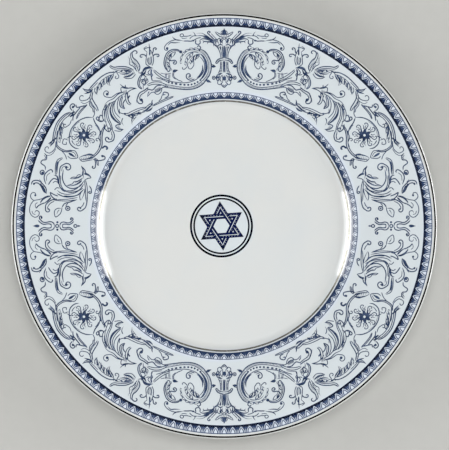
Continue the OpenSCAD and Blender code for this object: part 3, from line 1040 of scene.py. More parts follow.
class RingScrolls(Motif):
    """Large ring scrolls beside the torches, each with a curled leaf in it."""

    node = "ring_scrolls"

    def draw(self, ink: InkSheet) -> None:
        """Draws the ring's stem, the leaf in it and the curl on its far side."""
        self.draw_stem(ink)
        self.draw_leaf(ink)
        self.draw_far_curl(ink)
        self.draw_wrap(ink)

    def draw_stem(self, ink: InkSheet) -> None:
        """Draws the thick beaded stem round the left and lower sides."""
        outer = [(5.9, 3.1), (4.6, 2.1), (3.7, 0.3), (3.38, -1.6), (3.94, -3.55), (5.1, -4.9), (6.7, -6.1),
                 (8.8, -6.67), (10.9, -6.56), (13.2, -5.9), (15.5, -4.9), (17.6, -3.9)]
        second = [(6.0, 2.3), (5.0, 1.5), (4.35, 0.2), (4.1, -1.6), (4.6, -3.4), (5.8, -4.7), (7.4, -5.6),
                  (9.0, -6.05), (10.8, -6.0), (12.9, -5.4), (15.0, -4.4), (16.8, -3.3)]
        ink.stroke(outer, Pen.BOLD)
        ink.stroke(second, Pen.FINE)
        ink.hatch(outer, second, 64)
        ink.stroke([(6.0, 1.9), (5.2, 0.9), (4.7, -0.9), (4.95, -2.6), (6.0, -4.1), (7.2, -4.9)], Pen.BROAD,
                   Taper.SWELL)
        ink.stroke([(6.3, 1.4), (5.5, 0.2), (5.15, -1.1), (5.6, -2.7), (6.6, -3.8), (8.6, -4.65),
                    (10.9, -4.75), (13.0, -4.2), (15.1, -3.2), (16.6, -2.0)])
        ink.stroke([(5.7, -1.0), (5.9, -2.5), (6.9, -3.7), (7.8, -4.1)], Pen.BRUSH, Taper.SWELL)
        ink.dashes([(6.6, -4.75), (8.4, -5.4), (10.3, -5.45), (12.4, -4.9), (14.6, -3.9), (16.2, -2.9)], 10,
                   Pen.BRUSH)
        ink.drop((3.3, -1.7), (2.2, -1.9), 0.65)
        ink.stroke([(3.4, -1.2), (2.8, -1.4), (2.3, -1.8)], Pen.FINE)
        ink.drop((5.2, -5.1), (3.8, -5.8), 0.7)

    def draw_leaf(self, ink: InkSheet) -> None:
        """Draws the curled leaf that the stem ends in."""
        ink.frond([(5.9, 2.6), (7.2, 3.0), (8.5, 3.1), (9.6, 2.6), (10.5, 1.6), (10.9, 0.3)], 6, 0.55)
        ink.frond([(6.1, 1.8), (7.2, 1.6), (8.2, 1.0), (9.0, 0.2)], 4, 1.1, Side.RIGHT)
        ink.frond([(7.6, 2.4), (8.8, 1.9), (9.7, 1.0), (10.3, -0.1)], 4, 0.8, Side.RIGHT)
        ink.stroke([(6.2, 2.2), (7.4, 2.5), (8.8, 2.4), (9.8, 1.7)], Pen.BOLD, Taper.POINT)
        ink.comma((6.3, 1.6), (7.3, 0.2), 0.15, Pen.BRUSH)
        ink.comma((7.2, 1.5), (8.2, -0.3), 0.12)
        ink.curl([(7.8, 0.7), (7.9, -0.7), (8.6, -1.5)], 0.7, Side.LEFT, Pen.LINE, 0.5)
        ink.curl([(9.2, 0.3), (9.7, -0.8), (10.5, -1.3)], 0.5, Side.LEFT, Pen.LINE, 0.5)
        ink.curl([(8.4, -4.3), (9.6, -4.4), (10.3, -4.0)], 0.95, Side.LEFT, Pen.BOLD, 0.75, 0.28)
        ink.stroke([(8.9, -3.9), (9.7, -3.9), (10.1, -3.3)], Pen.FINE)

    def draw_far_curl(self, ink: InkSheet) -> None:
        """Draws the leafy curl that closes the ring."""
        ink.stem([(10.4, 3.3), (11.1, 4.0), (12.4, 4.3), (13.7, 3.8), (14.8, 2.3), (15.2, 0.9),
                  (14.9, -0.7)], -0.4, Pen.BOLD)
        ink.dot((10.4, 3.2), 0.38)
        ink.frond([(11.6, 3.6), (13.0, 3.3), (14.1, 2.2), (14.5, 0.8), (14.3, -0.5)], 5, 0.9, Side.RIGHT)
        ink.curl([(13.8, 2.2), (13.2, 1.7), (12.5, 1.6)], 0.62, Side.LEFT, Pen.BOLD, 1.0, 0.2)
        ink.comma((12.6, 3.3), (13.6, 2.0), 0.1, Pen.BRUSH)
        ink.comma((13.8, 3.0), (14.6, 1.5), 0.1)
        ink.stroke([(14.4, 1.2), (14.0, 0.2), (14.5, -0.7), (15.0, -0.5)])

    def draw_wrap(self, ink: InkSheet) -> None:
        """Draws the bud under the curl and the leaves that wrap the stem's end."""
        ink.drop((13.7, -1.0), (12.2, -1.1), 0.75)
        ink.stroke([(13.2, -0.9), (13.8, -2.2), (13.2, -3.3), (11.9, -4.3)])
        ink.stroke([(13.7, -1.2), (14.1, -2.2), (13.6, -3.2)], Pen.FINE)
        ink.hatch([(14.3, -1.5), (15.6, -0.5)], [(14.8, -2.7), (16.6, -2.0)], 4, Pen.FINE)
        ink.stroke([(14.2, -1.3), (15.5, -1.1), (16.8, -0.3)], Pen.FINE)
        ink.stem([(15.0, -2.8), (16.3, -1.6), (17.2, -0.3), (18.0, 1.2)], -0.55)
        ink.stroke([(15.8, -3.2), (17.1, -1.9), (18.3, -0.9)])


class Clasps(Motif):
    """Fleurons, tall leaves and lily buds round the dark knots where the ring scrolls start."""

    node = "clasps"

    def draw(self, ink: InkSheet) -> None:
        """Draws the fleuron, the tall leaf, the knot and the lily bud."""
        self.draw_fleuron(ink)
        self.draw_tall_leaf(ink)
        self.draw_knot(ink)
        self.draw_bud(ink)

    def draw_fleuron(self, ink: InkSheet) -> None:
        """Draws the three-curled fleuron that leans to the left."""
        ink.stroke([(16.9, 6.3), (16.8, 4.8), (17.2, 3.2), (18.0, 2.2)])
        ink.stroke([(17.8, 5.9), (18.6, 4.4), (19.1, 3.2), (18.5, 2.2)])
        ink.comma((17.5, 4.9), (16.6, 7.8), 0.03, Pen.BRUSH)
        ink.stroke([(16.6, 6.6), (17.3, 6.9), (18.1, 6.9)])
        ink.stroke([(17.3, 7.3), (18.1, 7.0), (17.7, 5.8)], Pen.FINE)
        ink.stroke([(17.3, 4.6), (17.7, 3.3), (18.2, 2.7)])
        ink.stroke([(18.0, 4.6), (18.5, 3.6), (18.4, 2.8)])
        ink.hatch([(17.1, 4.3), (17.8, 2.6)], [(18.5, 4.3), (18.8, 2.9)], 7)
        ink.curl([(17.0, 5.0), (16.5, 5.4), (16.2, 6.0)], 0.42, Side.LEFT, Pen.BOLD, 0.8)
        ink.curl([(18.3, 4.8), (18.5, 5.5), (19.0, 5.9)], 0.45, Side.RIGHT, Pen.BOLD, 0.75)
        ink.curl([(17.0, 4.4), (16.3, 4.6), (15.7, 4.4)], 0.4, Side.LEFT, Pen.BOLD, 0.8)

    def draw_tall_leaf(self, ink: InkSheet) -> None:
        """Draws the tall hooked leaf."""
        ink.curl([(21.6, 2.3), (20.7, 3.4), (20.7, 5.0), (21.1, 6.2), (20.9, 7.2)], 0.75, Side.LEFT,
                 Pen.BOLD, 0.75)
        ink.stroke([(21.5, 2.4), (21.3, 4.0), (21.6, 5.6), (21.4, 7.0), (20.8, 7.7)])
        ink.stroke([(21.8, 2.6), (22.0, 4.2), (22.5, 5.2), (22.0, 6.2), (21.9, 7.2)], Pen.BOLD, Taper.POINT)
        ink.beads([(21.7, 5.2), (21.6, 4.4), (21.7, 3.6)], 5, 0.15)
        ink.hatch([(20.8, 5.8), (20.8, 3.6)], [(21.4, 5.6), (21.3, 3.4)], 7)
        ink.hatch([(21.7, 6.6), (21.9, 3.8)], [(22.2, 6.0), (22.0, 4.0)], 6)

    def draw_knot(self, ink: InkSheet) -> None:
        """Draws the dark knot and the leaves that clasp the stems."""
        ink.stroke([(18.0, 1.6), (19.0, 2.2), (20.0, 2.3), (21.0, 1.6)], Pen.BROAD, Taper.SWELL)
        ink.stroke([(19.6, 2.0), (20.6, 1.3), (21.6, 1.2)], Pen.BRUSH, Taper.SWELL)
        ink.comma((20.9, 2.1), (20.3, 0.1), 0.1, Pen.BRUSH)
        ink.comma((20.3, 1.1), (21.8, 2.3), 0.0, Pen.BRUSH)
        ink.stem([(20.6, 1.7), (22.0, 1.1), (23.0, 0.2), (23.4, -0.9), (23.0, -1.9)], -0.4, Pen.BOLD)
        ink.comma((18.4, 1.5), (19.4, -1.3), 0.1, Pen.BRUSH)
        ink.stroke([(18.6, 1.7), (19.6, 1.1), (19.3, 0.2)])
        ink.comma((20.2, 0.9), (18.9, 0.3), 0.12)
        ink.stroke([(19.0, 0.9), (18.8, 0.1), (19.4, -0.4), (19.6, -1.2)])
        ink.stroke([(20.6, 0.6), (21.2, 0.1), (22.0, 0.3), (22.2, -0.5), (21.6, -1.1), (20.4, -0.9)])
        ink.hatch([(20.3, 0.2), (21.4, -0.1)], [(20.2, -0.8), (21.7, -0.9)], 5, Pen.FINE)
        ink.curl([(22.0, -1.4), (21.4, -1.0), (21.2, -0.4)], 0.42, Side.RIGHT, Pen.BOLD, 0.8)
        ink.comma((21.9, -0.9), (22.6, -2.1), 0.1)

    def draw_bud(self, ink: InkSheet) -> None:
        """Draws the stems, the lily bud and the curl under the knot."""
        ink.stem([(16.4, -4.3), (18.0, -3.0), (19.6, -2.2), (21.4, -1.8)], 0.6)
        ink.stroke([(17.2, -2.4), (18.6, -1.6), (19.6, -1.2)], Pen.FINE)
        ink.stroke([(16.0, -4.2), (17.8, -3.9), (19.6, -4.3), (21.2, -3.8), (22.7, -4.2)])
        ink.stroke([(17.6, -3.3), (19.0, -2.9), (20.3, -3.3), (20.9, -3.2), (22.0, -2.2)], Pen.BOLD)
        ink.stroke([(17.9, -3.9), (18.8, -4.8), (20.0, -4.9), (20.6, -4.0)])
        ink.hatch([(18.3, -3.4), (19.9, -3.4)], [(18.8, -4.5), (20.3, -4.3)], 7, Pen.FINE)
        ink.curl([(21.2, -2.2), (22.6, -2.4), (24.2, -2.4), (25.6, -3.3)], 1.1, Side.RIGHT, Pen.BOLD, 0.72,
                 0.4)
        ink.stroke([(21.4, -2.7), (22.8, -2.9), (24.2, -3.0), (25.0, -3.8), (24.8, -4.6)])
        ink.hatch([(21.6, -2.3), (25.2, -3.2)], [(21.8, -2.8), (24.6, -3.4)], 8)
        ink.comma((24.6, -2.8), (26.3, -4.0), 0.1)
        ink.comma((21.6, -3.3), (22.8, -4.3), 0.1)


class OuterAcanthus(Motif):
    """Long leaves along the outer side of the rim, with tips that hang from them."""

    node = "outer_acanthus"

    def draw(self, ink: InkSheet) -> None:
        """Draws the two lobes, the hanging tips and the end curl."""
        self.draw_first_lobe(ink)
        self.draw_second_lobe(ink)
        self.draw_end(ink)

    def draw_first_lobe(self, ink: InkSheet) -> None:
        """Draws the lobe that rises from the knot."""
        ink.stem([(22.3, 3.4), (23.4, 5.0), (24.8, 6.1), (25.8, 6.7), (26.3, 7.7)], -0.5, Pen.BOLD)
        ink.frond([(22.9, 3.4), (23.9, 4.5), (25.2, 5.3), (26.4, 6.0)], 4, 0.7, Side.RIGHT)
        ink.comma((23.2, 3.6), (24.5, 4.9), -0.05, Pen.BRUSH)
        ink.comma((23.6, 3.4), (25.6, 4.6), -0.1, Pen.BRUSH)
        ink.stroke([(22.5, 2.8), (24.0, 2.7), (25.3, 3.3)], Pen.BRUSH, Taper.SWELL)
        ink.stroke([(22.4, 2.3), (23.6, 1.9), (24.7, 2.4), (25.3, 3.2)])
        ink.hatch([(22.5, 3.3), (24.8, 3.7)], [(22.6, 2.3), (24.8, 2.7)], 8)
        ink.curl([(26.0, 5.2), (26.0, 4.3)], 0.6, Side.LEFT, Pen.LINE, 0.85)
        ink.stroke([(25.2, 5.4), (26.2, 5.6), (27.0, 5.2)], Pen.FINE)

    def draw_second_lobe(self, ink: InkSheet) -> None:
        """Draws the lobe along the border, with the tips that hang from it."""
        ink.stroke([(26.3, 5.5), (27.4, 6.3), (29.2, 6.7), (31.4, 6.6), (33.2, 6.4)], Pen.BOLD)
        ink.frond([(26.8, 5.3), (28.2, 5.8), (29.8, 5.9), (31.2, 5.6), (32.6, 5.2)], 5, 1.5, Side.RIGHT)
        ink.stroke([(30.6, 6.2), (32.0, 6.1), (33.0, 6.1)], Pen.FINE)
        ink.comma((27.2, 5.4), (29.0, 3.5), 0.18, Pen.BRUSH)
        ink.comma((27.0, 5.0), (28.6, 4.1), 0.1)
        ink.comma((28.3, 5.7), (29.1, 3.6), 0.2)
        ink.comma((29.0, 5.7), (31.2, 4.2), 0.1)
        ink.comma((30.1, 5.8), (31.6, 4.3), 0.16, Pen.LINE)
        ink.comma((31.2, 5.4), (32.7, 3.9), 0.12)
        ink.comma((31.9, 5.7), (32.8, 4.1), 0.14, Pen.LINE)

    def draw_end(self, ink: InkSheet) -> None:
        """Draws the dark tip, the end curl and the stems that run down to the rosette."""
        ink.comma((32.9, 6.0), (34.0, 7.9), -0.12, Pen.BRUSH)
        ink.comma((33.6, 5.9), (34.0, 7.6), -0.1)
        ink.stroke([(32.4, 5.8), (33.4, 5.8), (34.6, 6.5)], Pen.BRUSH, Taper.SWELL)
        ink.stem([(32.8, 5.4), (34.0, 4.4), (34.5, 3.0), (34.8, 1.8), (35.3, 0.9)], 0.6, Pen.BOLD)
        ink.stem([(34.7, 4.2), (35.3, 3.4), (35.5, 2.2), (36.3, 1.5)], 0.4)
        ink.curl([(33.8, 5.0), (35.0, 4.9), (36.0, 5.6)], 0.85, Side.LEFT, Pen.LINE, 0.75)
        ink.stroke([(33.8, 4.5), (35.0, 4.3), (36.2, 4.8), (36.5, 5.8)], Pen.FINE)


class AcanthusPlumes(Motif):
    """Leaf plumes in the middle of each quarter, swept towards the rosettes."""

    node = "acanthus_plumes"

    def draw(self, ink: InkSheet) -> None:
        """Draws the hooked tips, the swept leaves and the curl at the root."""
        self.draw_tips(ink)
        self.draw_sweep(ink)
        self.draw_root(ink)

    def draw_tips(self, ink: InkSheet) -> None:
        """Draws the hooked tips and the curl above the plume."""
        ink.stroke([(24.1, -1.0), (25.2, -0.1), (26.3, 0.6), (26.0, 1.4)], Pen.BOLD)
        ink.stroke([(24.2, -0.9), (25.6, -0.5), (27.0, -0.6), (28.0, -1.0)])
        ink.comma((25.8, 0.2), (26.9, 2.4), -0.12, Pen.BRUSH)
        ink.stroke([(26.4, 0.5), (27.1, 1.4), (27.6, 1.0), (27.8, 0.4)])
        ink.curl([(27.6, 0.4), (29.0, 0.9), (30.6, 1.1), (31.5, 2.0)], 0.95, Side.LEFT, Pen.LINE, 0.9, 0.35)
        ink.stroke([(27.2, 0.1), (28.8, 0.6), (30.4, 0.5), (31.8, 0.9), (33.0, 0.8), (34.2, 0.2)], Pen.BOLD,
                   Taper.POINT)
        ink.stroke([(27.4, -0.3), (29.0, -0.1), (30.6, -0.2), (32.2, 0.2), (33.4, -0.1), (34.2, 0.2)])
        ink.comma((32.6, 0.6), (34.3, 0.1), 0.05)
        ink.hatch([(26.2, 0.2), (27.6, 0.5)], [(26.6, -0.5), (28.2, -0.6)], 5)

    def draw_sweep(self, ink: InkSheet) -> None:
        """Draws the leaves that sweep down side by side."""
        ink.stem([(26.5, -0.4), (27.3, -1.4), (27.8, -2.6), (27.7, -3.5)], 0.6, Pen.BOLD)
        ink.comma((26.6, -1.5), (27.8, -2.2), 0.1, Pen.BRUSH)
        ink.stroke([(28.2, -1.6), (29.4, -2.1), (30.0, -3.4)], Pen.BOLD)
        ink.stem([(28.2, -0.3), (29.6, -1.1), (30.4, -2.2), (29.9, -3.4)], -0.45, Pen.BOLD)
        ink.stroke([(29.0, -0.2), (30.5, -1.1), (31.6, -2.6), (31.9, -3.6)])
        ink.stroke([(30.0, -0.1), (31.5, -0.9), (32.5, -2.4), (32.6, -4.4)])
        ink.stem([(30.9, 0.0), (32.6, -0.8), (33.6, -2.2), (33.9, -4.0), (33.7, -5.6)], -0.5)
        ink.stroke([(31.0, -0.1), (32.8, -0.9), (33.9, -2.4), (34.1, -4.0), (33.8, -5.6)], Pen.BRUSH,
                   Taper.SWELL)
        ink.stem([(31.6, 0.2), (33.4, -0.6), (34.8, -2.2), (35.6, -3.8), (36.7, -5.2)], 0.45)
        ink.stroke([(32.2, 0.3), (34.2, -0.4), (35.9, -2.0), (36.8, -3.4), (37.8, -4.8)], Pen.FINE)
        ink.stroke([(32.8, 0.4), (34.6, -0.5), (36.0, -2.2)], Pen.BOLD, Taper.POINT)
        ink.stroke([(33.2, 0.6), (34.9, -0.1), (36.1, -1.5), (36.0, -2.6)])
        ink.stroke([(31.0, -2.4), (31.6, -3.2), (31.0, -4.2), (30.4, -4.6)])

    def draw_root(self, ink: InkSheet) -> None:
        """Draws the leaf and the curl at the root, and the knot beside the rosette."""
        ink.stroke([(33.8, -5.6), (34.6, -5.0), (35.2, -5.0), (35.2, -6.0), (34.2, -7.0)], Pen.BOLD)
        ink.stroke([(34.2, -6.9), (35.4, -6.6), (36.4, -5.4)])
        ink.hatch([(34.4, -5.3), (34.5, -6.6)], [(35.2, -5.2), (35.5, -6.3)], 5)
        ink.comma((32.0, -4.8), (33.4, -6.3), 0.2)
        ink.curl([(36.6, -5.0), (37.4, -6.2), (38.8, -6.8), (39.9, -6.3)], 0.95, Side.LEFT, Pen.BOLD, 0.7,
                 0.25)
        ink.stroke([(37.2, -5.0), (38.0, -5.9), (38.9, -6.2), (39.5, -5.6)])
        ink.hatch([(36.9, -5.2), (38.9, -6.7)], [(37.3, -5.1), (39.0, -6.2)], 6)
        ink.comma((37.0, -0.9), (35.7, -1.5), 0.3, Pen.BRUSH)
        ink.comma((36.9, -0.8), (36.0, -0.4), -0.2, Pen.BRUSH)
        ink.stroke([(36.4, -0.4), (35.8, -0.2), (35.4, -0.8)], Pen.BOLD)
        ink.curl([(37.0, -1.4), (37.2, -0.3)], 0.5, Side.LEFT, Pen.BOLD, 0.7)
        ink.stroke([(35.9, 1.7), (36.6, 1.1), (37.4, 0.9)])


class Tendrils(Motif):
    """Leafy stems along the inner side of the rim."""

    node = "tendrils"

    def draw(self, ink: InkSheet) -> None:
        """Draws the stem, its dark node and its leaves."""
        self.draw_stem(ink)
        self.draw_leaf(ink)

    def draw_stem(self, ink: InkSheet) -> None:
        """Draws the stem, its curl and its dark node."""
        ink.stem([(15.8, -7.0), (17.6, -6.9), (20.4, -6.8), (23.0, -6.8)], -0.35)
        ink.curl([(18.6, -6.6), (17.4, -6.5), (17.0, -5.8), (17.7, -5.2)], 0.7, Side.RIGHT, Pen.BOLD, 0.45)
        ink.stroke([(17.8, -5.9), (18.7, -5.6), (19.6, -6.3), (20.6, -6.6)])
        ink.stroke([(22.4, -6.5), (23.8, -6.7), (25.2, -6.9), (26.4, -6.6)], Pen.BRUSH, Taper.SWELL)
        ink.stroke([(23.0, -7.2), (24.2, -7.4), (25.6, -7.2)], Pen.BRUSH, Taper.SWELL)
        ink.stroke([(22.8, -6.1), (24.2, -6.2), (25.4, -6.4)])
        ink.comma((22.7, -6.6), (21.9, -5.5), -0.12, Pen.BRUSH)
        ink.comma((22.9, -6.5), (23.6, -5.9), 0.1, Pen.LINE)

    def draw_leaf(self, ink: InkSheet) -> None:
        """Draws the leaf at the stem's end."""
        ink.stem([(24.6, -6.3), (26.6, -5.5), (28.8, -5.0), (30.2, -4.7), (30.9, -4.0)], -0.55)
        ink.stroke([(25.6, -7.1), (27.4, -6.6), (28.2, -6.2)])
        ink.frond([(30.5, -5.1), (29.4, -5.7), (28.2, -6.1), (27.0, -6.4)], 3, 0.7, Side.LEFT, Pen.BRUSH)
        ink.comma((27.4, -6.1), (27.2, -7.1), 0.1, Pen.BRUSH)
        ink.comma((29.4, -5.7), (29.7, -7.0), 0.1, Pen.BRUSH)
        ink.comma((28.5, -6.2), (31.4, -7.7), 0.14)
        ink.comma((28.8, -6.8), (31.0, -7.3), 0.05, Pen.LINE)
        ink.stroke([(30.4, -5.4), (30.1, -6.3), (30.8, -6.9)])


class Rosettes(Motif):
    """Flowers, each in a ring of stem."""

    node = "rosettes"
    CENTRE: ClassVar[complex] = 42.35 + 0.05j
    PETALS: ClassVar[int] = 8
    POINTS: ClassVar[int] = 6
    FIRST_TURN: ClassVar[float] = 0.3

    def draw(self, ink: InkSheet) -> None:
        """Draws the flower and the stem round it."""
        self.draw_flower(ink)
        ink.stroke([(39.2, -2.8), (38.5, -1.8), (38.1, -0.4), (37.4, 0.8)], Pen.BOLD)
        ink.stroke([(39.0, -2.2), (38.6, -1.4), (38.5, -0.7)], Pen.FINE)
        ink.stroke([(37.4, 0.9), (38.6, 2.3), (40.4, 3.3), (42.6, 3.6), (44.4, 3.1), (45.8, 2.1),
                    (46.3, 0.6), (46.0, -0.6)], Pen.BOLD)
        ink.stroke([(40.0, 2.8), (41.4, 3.3), (43.0, 3.2), (44.4, 2.7)], Pen.HAIR)
        ink.comma((44.2, 2.6), (45.4, 3.4), 0.1)
        ink.comma((45.0, 2.0), (45.6, 0.4), 0.1)

    def turned(self, k: int, count: int, *spots: Spot) -> List[Spot]:
        """Spots about the flower's middle, turned to one of its petals."""
        turn = cmath.exp(2j * math.pi * (k + self.FIRST_TURN) / count)
        places = [self.CENTRE + turn * complex(*spot) for spot in spots]
        return [(place.real, place.imag) for place in places]

    def draw_flower(self, ink: InkSheet) -> None:
        """Draws the hooked petals, which swirl, and the dark star inside them."""
        for k in range(self.PETALS):
            ink.stroke(self.turned(k, self.PETALS, (1.0, 0.0), (1.6, -0.5), (2.2, -0.9)), Pen.BRUSH,
                       Taper.POINT)
            ink.stroke(self.turned(k, self.PETALS, (1.8, -0.7), (2.5, -1.05), (3.0, -0.75), (2.95, -0.25),
                                   (2.6, -0.3)))
            ink.stroke(self.turned(k, self.PETALS, (1.6, 0.25), (2.1, 0.05), (2.75, 0.3)), Pen.BOLD,
                       Taper.POINT)
            ink.stroke(self.turned(k, self.PETALS, (1.7, -0.25), (2.2, -0.35), (2.5, -0.6)), Pen.FINE)
        for k in range(self.POINTS):
            root, tip = self.turned(k, self.POINTS, (0.5, 0.0), (1.7, 0.2))
            ink.drop(root, tip, 0.9)
        ink.ring((self.CENTRE.real, self.CENTRE.imag), 0.66, Pen.BROAD)


class RosetteLeaves(Motif):
    """Leaves that arch over the rosettes and stems that run under them."""

    node = "rosette_leaves"

    def draw(self, ink: InkSheet) -> None:
        """Draws the arch, the hanging bud and the stems under the flower."""
        self.draw_crest(ink)
        self.draw_arch(ink)
        self.draw_bud(ink)
        self.draw_under(ink)

    def draw_crest(self, ink: InkSheet) -> None:
        """Draws the dark crest and the lines at the start of the arch."""
        ink.comma((39.0, 5.3), (40.9, 6.1), 0.1, Pen.BRUSH)
        ink.comma((40.6, 5.6), (38.8, 6.1), 0.2, Pen.BRUSH)
        ink.comma((40.2, 5.4), (38.6, 5.0), 0.1, Pen.BRUSH)
        ink.curl([(39.2, 6.0), (39.0, 6.8)], 0.75, Side.LEFT, Pen.BOLD, 0.85, 0.3)
        ink.stem([(35.9, 4.2), (37.4, 4.4), (39.0, 4.4), (40.2, 4.0)], -0.3)
        ink.stroke([(36.4, 4.3), (37.9, 5.6), (37.6, 6.3)], Pen.BOLD)
        ink.stroke([(37.4, 5.0), (38.6, 5.0), (40.0, 5.0), (41.0, 4.4)], Pen.BOLD)

    def draw_arch(self, ink: InkSheet) -> None:
        """Draws the leaf over the flower."""
        ink.stem([(39.6, 6.2), (41.0, 7.1), (43.2, 7.5), (45.4, 7.0), (47.2, 6.3), (48.2, 6.7)], -0.45,
                 Pen.BOLD)
        ink.stroke([(40.2, 5.8), (41.6, 6.4), (43.4, 6.5), (45.0, 6.0), (46.6, 5.4)])
        ink.frond([(42.6, 6.4), (44.0, 6.0), (45.4, 5.4), (46.8, 4.9)], 4, 0.8, Side.RIGHT)
        ink.comma((43.2, 6.6), (46.0, 4.2), 0.06, Pen.BRUSH)
        ink.comma((43.6, 5.9), (44.8, 4.8), 0.1)
        ink.comma((44.6, 6.3), (47.6, 4.7), 0.04, Pen.BRUSH)
        ink.comma((46.2, 5.8), (48.2, 7.0), -0.05, Pen.BRUSH)
        ink.stroke([(46.6, 6.0), (47.4, 5.8), (48.6, 6.3)])
        ink.curl([(40.8, 4.9), (42.0, 4.6), (43.0, 5.0)], 0.5, Side.LEFT, Pen.LINE, 0.85)
        ink.stroke([(45.4, 2.8), (45.6, 3.9), (46.7, 3.7), (46.5, 2.8), (45.9, 3.1)])
        ink.curl([(47.2, 5.3), (48.6, 4.9), (49.9, 5.6), (50.0, 6.6)], 0.75, Side.LEFT, Pen.LINE, 0.75)
        ink.stroke([(48.4, 4.6), (49.8, 4.9), (50.6, 5.8), (50.5, 6.8)], Pen.FINE)

    def draw_bud(self, ink: InkSheet) -> None:
        """Draws the stem and bud that hang beside the flower."""
        ink.stem([(46.9, 5.5), (47.9, 4.8), (48.3, 3.4), (48.1, 1.9), (47.2, 0.7)], -0.35, Pen.BOLD)
        ink.stroke([(48.3, 3.2), (48.9, 1.9), (49.8, 1.0)])
        ink.stroke([(47.3, 1.0), (47.0, -0.1), (48.2, -1.3), (49.1, 0.2), (48.9, 1.2)])
        ink.drop((48.1, 1.3), (48.4, -0.9), 0.6)
        ink.stroke([(47.6, 1.2), (47.5, 0.0), (48.1, -0.9)], Pen.FINE)

    def draw_under(self, ink: InkSheet) -> None:
        """Draws the stems, leaf and curls under the flower."""
        ink.stem([(36.6, -3.0), (38.2, -3.2), (40.0, -4.0), (42.0, -5.2), (44.2, -5.4), (46.2, -4.8),
                  (47.2, -4.0)], 0.45, Pen.BOLD)
        ink.stroke([(39.2, -3.0), (40.6, -3.4), (41.4, -4.4)])
        ink.comma((38.8, -2.8), (39.8, -3.3), 0.1, Pen.BRUSH)
        ink.curl([(36.8, -2.4), (37.6, -3.1), (37.8, -4.0)], 0.7, Side.RIGHT, Pen.BOLD, 0.85, 0.2)
        ink.curl([(43.0, -4.8), (41.6, -4.5), (41.0, -3.8)], 0.55, Side.RIGHT, Pen.LINE, 0.85)
        ink.curl([(42.8, -5.6), (41.8, -5.9), (41.6, -6.3)], 0.5, Side.LEFT, Pen.BRUSH, 0.5)
        ink.comma((45.6, -4.8), (48.2, -1.6), 0.1, Pen.BRUSH)
        ink.comma((46.2, -4.9), (48.3, -2.2), -0.06, Pen.BRUSH)
        ink.stroke([(46.9, -5.0), (48.2, -3.4), (48.6, -2.6), (48.2, -1.7)])
        ink.stroke([(45.6, -4.4), (46.0, -3.4), (47.0, -2.8)])
        ink.hatch([(45.8, -4.2), (47.8, -2.2)], [(46.8, -4.8), (48.5, -2.6)], 7)
        ink.curl([(46.8, -5.0), (46.4, -6.4), (45.4, -7.5)], 0.85, Side.RIGHT, Pen.BOLD, 0.5, 0.35)
        ink.stem([(46.2, -5.2), (46.4, -6.2), (47.8, -7.0)], 0.4)
        ink.curl([(46.6, -5.4), (47.4, -6.0), (48.6, -6.4)], 0.55, Side.LEFT, Pen.BOLD, 0.6, 0.2)


